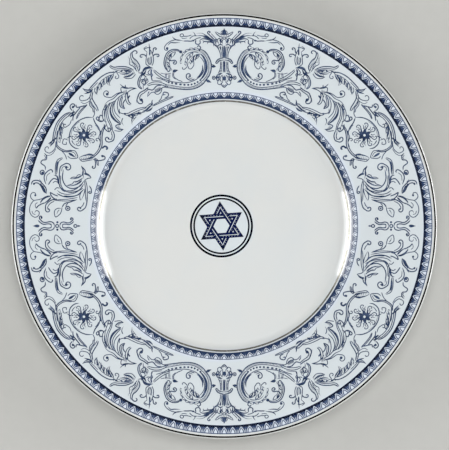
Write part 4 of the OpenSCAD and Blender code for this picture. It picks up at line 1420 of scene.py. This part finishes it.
class SidePlumes(Motif):
    """Leaf plumes beside the ornaments on the level axis."""

    node = "side_plumes"

    def draw(self, ink: InkSheet) -> None:
        """Draws the ribbon, the upper curls, the scroll leaf, the swept leaves and the root."""
        self.draw_ribbon(ink)
        self.draw_crown(ink)
        self.draw_scroll(ink)
        self.draw_sweep(ink)
        self.draw_heart(ink)
        self.draw_root(ink)

    def draw_ribbon(self, ink: InkSheet) -> None:
        """Draws the ribbon that flutters along the border, and its ball."""
        ink.stroke([(50.4, 6.9), (50.8, 6.1), (51.6, 5.9), (52.0, 6.7), (52.7, 6.8), (53.1, 5.6),
                    (53.9, 5.2)], Pen.BOLD)
        ink.stroke([(50.8, 6.8), (51.2, 6.2), (51.6, 6.3)], Pen.FINE)
        ink.stroke([(57.0, 4.1), (55.8, 4.9), (54.8, 5.0), (53.9, 4.5), (53.4, 3.9), (53.6, 3.4),
                    (54.0, 3.4)], Pen.BOLD)
        ink.stroke([(56.2, 4.2), (55.0, 4.4), (54.1, 3.8)], Pen.FINE)
        ink.ring((54.6, 5.8), 0.5, Pen.BOLD)
        ink.dot((54.7, 5.7), 0.3)

    def draw_crown(self, ink: InkSheet) -> None:
        """Draws the dark leaves and the spirals towards the lip."""
        ink.stroke([(57.8, 7.7), (57.1, 7.6), (56.7, 7.0), (56.6, 6.0), (57.2, 4.8), (57.9, 3.9),
                    (59.0, 3.5)], Pen.BOLD)
        ink.stroke([(57.6, 7.2), (57.2, 6.7), (57.2, 5.9), (57.8, 5.1), (58.6, 4.4), (59.1, 3.5)], Pen.BOLD)
        ink.dot((57.5, 7.1), 0.25)
        ink.comma((57.1, 5.5), (59.0, 3.5), 0.05, Pen.BRUSH)
        ink.comma((57.5, 5.0), (58.9, 3.7), -0.05, Pen.BRUSH)
        ink.comma((56.8, 5.3), (56.2, 6.1), 0.0)
        ink.comma((59.5, 2.4), (61.6, 4.7), 0.12, Pen.BRUSH)
        ink.comma((59.8, 2.2), (61.7, 4.2), -0.08, Pen.BRUSH)
        ink.stroke([(59.5, 2.8), (60.2, 4.0), (61.4, 4.7)], Pen.BOLD)
        ink.stroke([(60.0, 6.1), (59.4, 6.4), (59.5, 7.1), (60.2, 7.4), (60.8, 7.0), (61.1, 6.3)])
        ink.dot((59.9, 6.2), 0.26)
        ink.stroke([(60.1, 3.8), (60.7, 5.0), (61.1, 6.3), (61.8, 6.9), (62.7, 7.2), (63.7, 7.1),
                    (64.5, 6.5), (64.8, 5.6), (64.3, 4.8), (63.5, 4.8), (63.3, 5.5), (63.8, 5.9)])
        ink.stroke([(63.4, 6.6), (64.0, 6.3), (64.2, 5.6)], Pen.FINE)
        ink.stroke([(61.3, 3.7), (62.1, 5.0), (62.8, 5.6)], Pen.BOLD)
        ink.stroke([(62.8, 5.6), (62.0, 5.9), (61.4, 5.4)], Pen.FINE)
        ink.curl([(59.9, 0.8), (60.6, 2.2), (61.7, 3.2), (62.9, 3.2)], 0.7, Side.RIGHT, Pen.BOLD, 0.7, 0.2)
        ink.stroke([(60.6, 1.2), (61.2, 2.1), (62.2, 2.7), (62.9, 2.5)])

    def draw_scroll(self, ink: InkSheet) -> None:
        """Draws the leaf on the left with its spiral."""
        ink.stem([(49.7, 2.2), (50.6, 3.1), (51.8, 3.2), (53.2, 2.8), (54.3, 2.4)], -0.55)
        ink.comma((51.0, 2.9), (53.6, 2.3), 0.06, Pen.BRUSH)
        ink.curl([(55.0, 1.2), (53.4, 1.6), (52.0, 1.8), (50.9, 1.0)], 1.15, Side.LEFT, Pen.BOLD, 0.85, 0.3)
        ink.stroke([(53.0, 1.2), (52.0, 1.3), (51.4, 0.6), (51.6, -0.2)], Pen.FINE)
        ink.stem([(54.0, 1.1), (55.8, 0.6), (57.0, -0.2), (57.6, -1.2)], 0.4)
        ink.stroke([(54.4, 2.8), (54.5, 1.9), (55.3, 1.4), (56.0, 1.1), (56.6, 0.4)], Pen.BRUSH,
                   Taper.SWELL)
        ink.stroke([(57.0, 3.5), (55.9, 3.1), (55.2, 2.5), (55.3, 1.5)], Pen.BOLD)
        ink.stroke([(56.3, 2.5), (55.8, 2.0), (55.9, 1.1)])
        ink.stroke([(57.9, 1.7), (57.2, 1.2), (57.2, 0.5)])

    def draw_sweep(self, ink: InkSheet) -> None:
        """Draws the leaves that sweep up side by side from the root."""
        ink.comma((52.2, -4.0), (54.1, -1.4), -0.12, Pen.BRUSH)
        ink.comma((52.8, -4.4), (54.9, -2.6), -0.1)
        ink.stroke([(52.0, -3.7), (52.6, -3.0), (53.2, -2.8), (53.5, -2.0), (54.1, -1.4)])
        ink.comma((53.6, -4.4), (56.1, -1.2), -0.14, Pen.BRUSH)
        ink.stroke([(53.4, -4.0), (54.2, -3.4), (54.6, -2.6), (55.3, -2.3), (56.1, -1.1)])
        ink.stroke([(52.4, 0.9), (54.7, 0.4), (56.2, -0.9), (56.5, -2.6), (55.4, -4.3), (53.5, -5.0)],
                   Pen.BOLD)
        ink.stroke([(56.7, 0.8), (57.4, -0.6), (57.6, -2.4), (56.5, -4.4), (54.4, -5.2)], Pen.BOLD)
        ink.stroke([(57.8, 1.0), (58.3, -0.1), (58.3, -1.7), (57.6, -3.4), (56.4, -4.6), (55.6, -5.3)])
        ink.stroke([(57.3, -0.8), (57.2, -2.4), (56.1, -3.8), (54.6, -4.5)], Pen.BOLD, Taper.SWELL)
        ink.stroke([(58.6, 0.9), (59.0, -0.6), (58.9, -2.3), (57.9, -4.3), (55.8, -5.6)], Pen.BOLD)
        ink.comma((58.9, -1.0), (57.6, -4.9), 0.08, Pen.BRUSH)
        ink.stroke([(60.1, 0.5), (59.9, -0.6), (59.5, -2.2), (58.6, -4.5)])
        ink.stroke([(60.3, 2.0), (60.3, 0.0), (60.0, -2.2), (59.3, -4.2)])
        ink.stroke([(59.2, 0.5), (59.0, 1.6), (58.6, 2.7)], Pen.BOLD)
        ink.stroke([(58.6, 2.7), (59.4, 2.2), (60.0, 1.3), (60.1, 0.4)], Pen.BOLD)

    def draw_heart(self, ink: InkSheet) -> None:
        """Draws the seed and the ball on the side of the swept leaves."""
        ink.stroke([(59.2, -4.4), (60.2, -2.8), (60.8, -1.5), (61.9, -0.9)], Pen.BOLD)
        ink.stroke([(61.8, -0.9), (62.6, -0.9), (63.6, -0.6), (64.5, 0.5), (63.1, 0.9), (62.3, 0.2),
                    (62.2, -0.7)])
        ink.comma((62.6, -0.3), (63.8, 0.2), 0.1, Pen.LINE)
        ink.stroke([(60.6, -2.3), (61.2, -1.9), (61.7, -2.0)])
        ink.ring((62.0, -2.4), 0.55, Pen.BOLD)
        ink.dot((62.0, -2.4), 0.24)

    def draw_root(self, ink: InkSheet) -> None:
        """Draws the jagged leaf at the root and the stems along the inner border."""
        ink.stroke([(49.8, -3.0), (50.7, -3.8), (51.6, -4.0), (52.3, -4.2)], Pen.BOLD)
        ink.stroke([(49.9, -3.0), (50.5, -4.2), (51.2, -4.7), (51.4, -5.6), (52.0, -6.5)], Pen.BOLD)
        ink.comma((51.6, -4.4), (52.0, -6.4), -0.12, Pen.BRUSH)
        ink.comma((50.9, -4.0), (53.0, -4.8), 0.05)
        ink.stroke([(52.0, -6.5), (52.6, -5.6), (53.2, -5.2)])
        ink.stem([(53.0, -5.2), (55.0, -6.2), (57.0, -6.7), (59.3, -7.0)], 0.5)
        ink.curl([(57.0, -6.7), (59.4, -7.0), (61.2, -6.8), (62.2, -6.0)], 0.8, Side.LEFT, Pen.BOLD, 0.8,
                 0.22)
        ink.stroke([(59.6, -6.3), (60.6, -6.1), (61.4, -5.6)])
        ink.comma((55.4, -5.8), (59.3, -5.4), -0.06)
        ink.stroke([(56.4, -5.2), (58.0, -4.9), (59.3, -5.3)])
        ink.curl([(54.4, -6.6), (55.2, -7.3), (56.2, -7.6)], 0.42, Side.LEFT, Pen.BOLD, 1.0)


class SideFleurons(Motif):
    """Upright ornaments on the level axis: two lilies joined by beads."""

    node = "side_fleurons"
    axis_mirrors = (True, False, False)

    def draw(self, ink: InkSheet) -> None:
        """Draws the half of the lilies that faces the plume."""
        for foot, top, side in ((0.7, 1.0, Side.LEFT), (-0.6, -0.86, Side.RIGHT)):
            lily = [(0.0, 0.0), (0.75, 0.3), (1.05, 1.1), (0.85, 2.2), (0.95, 3.0), (1.6, 3.8)]
            ink.curl([(QUARTER - x, foot + top * y) for x, y in lily], 0.5, side, Pen.BOLD, 0.72, 0.26)
            loop = [(0.0, 0.75), (0.42, 1.0), (0.5, 1.8), (0.38, 2.7), (0.7, 3.5), (1.3, 4.2)]
            ink.stroke([(QUARTER - x, foot + top * y) for x, y in loop], Pen.BOLD)
        ink.dot((QUARTER - 0.95, 0.0), 0.28)

    def draw_axis(self, ink: InkSheet) -> None:
        """Draws the drop and the beads on the axis."""
        ink.drop((QUARTER, 4.5), (QUARTER, 6.2), 0.75)
        ink.ring((QUARTER, 0.05), 0.38, Pen.BOLD)
        ink.ring((QUARTER, -4.6), 0.4, Pen.BOLD)
        ink.drop((QUARTER, -5.1), (QUARTER, -5.9), 0.45)


MOTIFS = [AxisPalmettes(), RingScrolls(), Clasps(), OuterAcanthus(), AcanthusPlumes(), Tendrils(),
          Rosettes(), RosetteLeaves(), SidePlumes(), SideFleurons()]


@dataclass(frozen=True)
class ScrollField:
    """Ring of the rim that carries the scrollwork, as a drawing grid of rows."""

    inner: float
    outer: float
    rows: int = 16
    columns: float = QUARTER

    @property
    def middle(self) -> float:
        """Radius of the middle of the field."""
        return (self.inner + self.outer) / 2

    @property
    def row(self) -> float:
        """Height of a row."""
        return (self.outer - self.inner) / self.rows

    def place(self, spot: complex) -> Vector:
        """Place on the flat design of a spot on the grid."""
        turn = spot.real / self.columns * math.pi / 2
        reach = self.middle + spot.imag * self.row
        return Vector((reach * math.sin(turn), reach * math.cos(turn), 0.0))


@dataclass(frozen=True)
class ScrollPrint:
    """Turns the strokes of a motif into a film on the rim."""

    field: ScrollField
    press: Press
    ink: Material

    def ribbon_mesh(self, ribbons: Sequence[Ribbon], mirrors: Tuple[bool, bool, bool]) -> Piece:
        """Flat mesh of the strokes, drawn with a level nib and mirrored.

        Args:
            ribbons: strokes on the grid.
            mirrors: axes that repeat them.

        Returns:
            The flat design.
        """
        Workshop.clear()
        bpy.ops.curve.primitive_nurbs_path_add()
        nib = bpy.context.object
        self.draw_line(nib.data, [Vector((-0.5, 0.0, 0.0)), Vector((0.5, 0.0, 0.0))], [1.0, 1.0], False)
        bpy.ops.curve.primitive_nurbs_path_add()
        flat = bpy.context.object
        flat.data.splines.clear()
        for ribbon in ribbons:
            places = [self.field.place(spot) for spot in ribbon.path]
            self.draw_line(flat.data, places, ribbon.widths, ribbon.closed)
        flat.data.dimensions = "2D"
        flat.data.fill_mode = "NONE"
        flat.data.bevel_mode = "OBJECT"
        flat.data.bevel_object = nib
        Workshop.pick(flat)
        bpy.ops.object.convert(target="MESH")
        flat = bpy.context.object
        bpy.data.objects.remove(nib)
        Workshop.modify(flat, "MIRROR", use_axis=mirrors, use_mirror_merge=False)
        return flat

    @staticmethod
    def draw_line(curve: bpy.types.Curve, places: Sequence[Vector], widths: Sequence[float],
                  closed: bool) -> None:
        """Adds a run of straight pieces to a curve, in place of the one it started with."""
        if len(curve.splines) == 1 and curve.splines[0].type == "NURBS":
            curve.splines.clear()
        line = curve.splines.new("POLY")
        line.points.add(len(places) - 1)
        for point, place, width in zip(line.points, places, widths):
            point.co = (*place, 1.0)
            point.radius = width
        line.use_cyclic_u = closed

    def build(self, motif: Motif) -> Piece:
        """Builds the print of a motif.

        Args:
            motif: that draws the strokes.

        Returns:
            The finished piece.
        """
        quarter, axis = InkSheet(self.field.row), InkSheet(self.field.row)
        motif.draw(quarter)
        motif.draw_axis(axis)
        flats = [self.ribbon_mesh(quarter.ribbons, (True, True, False))]
        if axis.ribbons:
            flats.append(self.ribbon_mesh(axis.ribbons, motif.axis_mirrors))
        film = self.press.lay(Workshop.join(flats))
        return Workshop.install(film, motif.node, Slot.SCROLL, self.ink)


@dataclass(frozen=True)
class Badge:
    """Woven star in two rings on the floor of the well."""

    press: Press
    ink: Material
    middle: Vector
    turn: float = math.radians(4)
    star: float = 12.3 * MM
    band: float = 2.4 * MM
    gap: float = 0.05 * MM
    lines: Tuple[Spot, ...] = ((-0.08, 0.2), (0.28, 0.47), (0.61, 1.07))
    dashes: Spot = (0.2, 0.28)
    dash: float = 1.1 * MM
    space: float = 0.3 * MM
    around: int = 128
    outer_ring: Spot = (15.6 * MM, 1.08 * MM)
    inner_ring: Spot = (14 * MM, 0.88 * MM)

    SIDES: ClassVar[Tuple[float, ...]] = (30.0, 150.0, 270.0)

    def settle(self, flat: Piece) -> Piece:
        """Turns a flat design, moves it to the badge's place and lays it on the floor."""
        Workshop.edit(flat)
        bpy.ops.transform.rotate(value=-self.turn, orient_axis="Z", center_override=(0.0, 0.0, 0.0))
        bpy.ops.transform.translate(value=self.middle)
        Workshop.clear()
        return self.press.lay(flat)

    def build_ring(self, node: str, radius: float, width: float) -> Piece:
        """Builds one of the rings, with its middle radius and its width."""
        ring = Workshop.annulus(radius - width / 2, radius + width / 2, 1, self.around)
        return Workshop.install(self.settle(ring), node, Slot.BADGE, self.ink)

    @staticmethod
    def side_strip(normal: float, low: float, high: float, start: Sequence[float],
                   end: Sequence[float]) -> Strip:
        """Straight strip along one side of a triangle.

        Args:
            normal: direction that the side faces, in degrees.
            low: distance of the strip's inner edge from the star's middle.
            high: distance of its outer edge.
            start: places along the side where the inner and outer edges start.
            end: places along the side where they end.

        Returns:
            The strip.
        """
        out = cmath.exp(1j * math.radians(normal))
        along = 1j * out
        ends = [zip((low, high), pair) for pair in (start, end)]
        spots = [out * reach + along * at for pairs in ends for reach, at in pairs]
        places = [Vector((spot.real, spot.imag, 0.0)) for spot in spots]
        return [(places[0], places[1]), (places[2], places[3])]

    def triangle(self, tilt: float) -> List[Strip]:
        """Strips of one triangle, broken where the other passes over it.

        Args:
            tilt: turn of the triangle, in degrees.

        Returns:
            The strips.
        """
        outer = self.star / 2
        inner = outer - self.band
        tall, half = math.sin(math.pi / 3), math.cos(math.pi / 3)
        runs = []
        for side in self.SIDES:
            for first, second in self.lines + (self.dashes,):
                low, high = outer - second * self.band, outer - first * self.band
                corner = [reach * math.tan(math.pi / 3) for reach in (low, high)]
                over_low = [-(outer + self.gap - half * reach) / tall for reach in (low, high)]
                over_high = [-(inner - self.gap - half * reach) / tall for reach in (low, high)]
                parts = [([-end for end in corner], over_low), (over_high, corner)]
                for start, end in parts:
                    if (first, second) == self.dashes:
                        runs += self.dashed(side + tilt, low, high, start, end)
                    else:
                        runs.append(self.side_strip(side + tilt, low, high, start, end))
        return runs

    def dashed(self, normal: float, low: float, high: float, start: Sequence[float],
               end: Sequence[float]) -> List[Strip]:
        """Row of dashes along part of a side."""
        first, last = max(start), min(end)
        count = max(1, round((last - first) / (self.dash + self.space)))
        pitch = (last - first) / count
        marks = [first + (k + 0.5) * pitch for k in range(count)]
        starts = [start] + [[at - self.dash / 2] * 2 for at in marks[1:]]
        ends = [[at + self.dash / 2] * 2 for at in marks[:-1]] + [end]
        return [self.side_strip(normal, low, high, *bounds) for bounds in zip(starts, ends)]

    def build_triangle(self, node: str, tilt: float) -> Piece:
        """Builds one of the triangles of the star."""
        flat = Workshop.strips(self.triangle(tilt))
        return Workshop.install(self.settle(flat), node, Slot.BADGE, self.ink)


class Beam(Enum):
    """What a lamp gives to the plate."""

    FULL = "light and its own image in the gloss"
    FILL = "light alone"
    SHEEN = "its image alone"


@dataclass(frozen=True)
class SoftBox:
    """A soft lamp."""

    at: Tuple[float, float, float]
    facing: Tuple[float, float, float]
    size: Tuple[float, float]
    glow: float
    beam: Beam = Beam.FULL

    def build(self, name: str) -> None:
        """Builds the lamp, with its glow as the brightness of its panel."""
        Workshop.clear()
        bpy.ops.object.light_add(type="AREA", location=self.at)
        lamp = bpy.context.object
        lamp.name = name
        lamp.rotation_euler = Vector(self.facing).to_track_quat("-Z", "Y").to_euler()
        lamp.data.shape = "RECTANGLE"
        lamp.data.size, lamp.data.size_y = self.size
        lamp.data.energy = self.glow * math.pi * self.size[0] * self.size[1]
        lamp.visible_glossy = self.beam is not Beam.FILL
        lamp.visible_diffuse = self.beam is not Beam.SHEEN


@dataclass(frozen=True)
class Studio:
    """Pale floor, soft lamps on both sides and a camera straight above the plate."""

    floor_size: float = 6.0
    floor_drop: float = 0.05 * MM
    sky: float = 0.1
    camera_height: float = 1.3
    photo_width: float = 449.0
    photo_radius: float = 212.6
    plate_radius: float = 108 * MM
    camera_shift: Spot = (0.15 * MM, 0.5 * MM)
    sensor: float = 36.0
    lamps: Tuple[SoftBox, ...] = (
        SoftBox((-0.8, 0.058, 0.31), (1.0, 0.0, 0.0), (0.58, 0.46), 5.0),
        SoftBox((0.8, 0.057, 0.31), (-1.0, 0.0, 0.0), (0.58, 0.46), 5.4),
        SoftBox((-0.8, 0.058, 1.04), (1.0, 0.0, 0.0), (0.54, 0.98), 1.8, Beam.SHEEN),
        SoftBox((0.8, 0.057, 1.04), (-1.0, 0.0, 0.0), (0.54, 0.98), 1.8, Beam.SHEEN),
        SoftBox((0.0, -0.75, 1.1), (0.0, 0.75, -1.1), (0.9, 0.3), 0.8, Beam.SHEEN),
        SoftBox((0.0, -1.1, 0.9), (0.0, 1.1, -0.9), (1.2, 0.6), 2.6, Beam.FILL),
        SoftBox((0.15, 0.25, 2.2), (-0.15, -0.25, -2.2), (1.4, 1.4), 4.5, Beam.FILL),
    )

    @property
    def framing(self) -> float:
        """Width of the picture at the lip, from the pixels of the photograph."""
        return self.photo_width / self.photo_radius * self.plate_radius

    def build(self, top: float) -> None:
        """Builds the floor, the light and the camera.

        Args:
            top: height of the plate's lip, which the framing is measured at.
        """
        Workshop.clear()
        bpy.ops.mesh.primitive_plane_add(size=self.floor_size, location=(0.0, 0.0, -self.floor_drop))
        floor = bpy.context.object
        floor.name = "floor"
        floor.data.materials.append(FloorFinish().make())
        for number, lamp in enumerate(self.lamps):
            lamp.build(f"soft_box_{number}")
        self.light_sky()
        self.place_camera(top)
        log.info("studio: %d lamps", len(self.lamps))

    def light_sky(self) -> None:
        """Lights the scene evenly from all round."""
        world = bpy.data.worlds.new("even_light")
        world.use_nodes = True
        sky = world.node_tree.nodes["Background"]
        sky.inputs["Color"].default_value = (1.0, 1.0, 1.0, 1.0)
        sky.inputs["Strength"].default_value = self.sky
        bpy.context.scene.world = world

    def place_camera(self, top: float) -> None:
        """Sets the camera straight above the plate, framed as in the photograph."""
        Workshop.clear()
        place = (*self.camera_shift, top + self.camera_height)
        bpy.ops.object.camera_add(location=place, rotation=(0.0, 0.0, 0.0))
        camera = bpy.context.object
        camera.data.sensor_width = self.sensor
        camera.data.lens = self.sensor * self.camera_height / self.framing
        bpy.context.scene.camera = camera
        bpy.context.scene.view_settings.view_transform = "Standard"


@dataclass(frozen=True)
class PlateBands:
    """Radii of the bands on the face, read from the frame."""

    edge_line: Spot
    outer_border: Spot
    outer_stripe: Spot
    inner_border: Spot
    inner_stripe: Spot
    verge_line: Spot
    field_gap: float = 0.5 * MM

    @classmethod
    def from_frame(cls) -> "PlateBands":
        """Reads each band's outer radius, with its width as the part's own."""
        widths = {"edge_line": 0.8, "outer_border": 3.0, "outer_stripe": 1.3, "inner_border": 2.4,
                  "inner_stripe": 1.2, "verge_line": 0.8}
        radii = {node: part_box(node)[1].x for node in widths}
        return cls(**{node: (radii[node] - widths[node] * MM, radii[node]) for node in widths})

    @property
    def field(self) -> ScrollField:
        """Field of the scrollwork, between the two borders."""
        return ScrollField(self.inner_border[1] + self.field_gap, self.outer_stripe[0] - self.field_gap)


class SaladPlate:
    """The whole plate, built piece by piece in the order of its making."""

    OUTER_EGGS: ClassVar[int] = 150
    INNER_EGGS: ClassVar[int] = 96
    EGG_DIP: ClassVar[float] = 0.42 * MM
    INNER_TRIM: ClassVar[float] = 0.3 * MM

    def __init__(self) -> None:
        """Reads the frame and makes the finishes."""
        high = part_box("face_glaze")[1]
        self.section = PlateSection(lip=high.x, height=high.z)
        self.bands = PlateBands.from_frame()
        self.glaze = GlazeFinish().make()
        self.gilt = GiltFinish().make()
        self.border_ink = InkFinish(
            "border_print", thin=(88, 104, 134), grain=240.0,
            rings=((65.6 * MM, (40, 60, 98)), (67.4 * MM, (54, 74, 108)), (102.4 * MM, (36, 56, 94)),
                   (104.8 * MM, (62, 82, 116)))).make()
        self.stripe_ink = InkFinish(
            "stripe_print", thin=(34, 50, 80), grain=160.0,
            rings=((66 * MM, (42, 60, 92)), (102 * MM, (10, 26, 54)))).make()
        self.scroll_ink = InkFinish(
            "scroll_print", thin=(92, 110, 142), grain=320.0,
            rings=((69 * MM, (48, 66, 98)), (100 * MM, (46, 64, 96)))).make()
        self.badge_ink = InkFinish(
            "badge_print", thin=(20, 34, 70), grain=500.0, gloss=0.0,
            rings=((9 * MM, (4, 20, 68)), (13 * MM, (6, 12, 20)))).make()

    def build_body(self) -> Press:
        """Builds the clay and its three coats of glaze.

        Returns:
            The press that lays prints on the face.
        """
        section = self.section
        Turning("plate_body", Slot.CLAY, ClayFinish().make()).build(section.clay_path())
        coats = {"face_glaze": section.face_path, "back_glaze": section.back_path,
                 "recess_glaze": section.recess_path}
        made = {}
        for node, path in coats.items():
            closed = path(0.0) + path(-section.coat)[::-1]
            made[node] = Turning(node, Slot.GLAZE, self.glaze).build(closed)
        return Press(made["face_glaze"])

    def build_borders(self, press: Press) -> None:
        """Builds the metal lines, the egg borders and their stripes."""
        bands = self.bands
        RingFilm("edge_line", Slot.GILT, self.gilt, *bands.edge_line).build(press)
        RingFilm("verge_line", Slot.GILT, self.gilt, *bands.verge_line).build(press)
        rows = (("outer", self.OUTER_EGGS, 0.0), ("inner", self.INNER_EGGS, self.INNER_TRIM))
        for side, count, trim in rows:
            inner, outer = getattr(bands, f"{side}_border")
            inner -= self.EGG_DIP
            stripe = getattr(bands, f"{side}_stripe")
            unit = EggUnit(inner, outer - trim, count)
            border = EggBorder(unit, f"{side}_border", f"{side}_stripe", inner - stripe[0])
            border.build(press, self.border_ink, self.stripe_ink)

    def build_scrollwork(self, press: Press) -> None:
        """Builds the prints on the field of the rim."""
        printer = ScrollPrint(self.bands.field, press, self.scroll_ink)
        for motif in MOTIFS:
            printer.build(motif)

    def build_badge(self, press: Press) -> None:
        """Builds the badge in the well."""
        low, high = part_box("badge_outer_ring")
        middle = Vector(((low.x + high.x) / 2, (low.y + high.y) / 2, 0.0))
        badge = Badge(press, self.badge_ink, middle)
        badge.build_ring("badge_outer_ring", *badge.outer_ring)
        badge.build_ring("badge_inner_ring", *badge.inner_ring)
        badge.build_triangle("star_upright", 0.0)
        badge.build_triangle("star_inverted", 180.0)

    def build(self) -> None:
        """Builds every piece."""
        press = self.build_body()
        self.build_borders(press)
        self.build_scrollwork(press)
        self.build_badge(press)


def main() -> None:
    """Builds the plate and its studio in the loaded frame."""
    logging.basicConfig(level=logging.INFO, format="%(message)s")
    plate = SaladPlate()
    plate.build()
    Studio().build(plate.section.height)


if __name__ == "__main__":
    main()
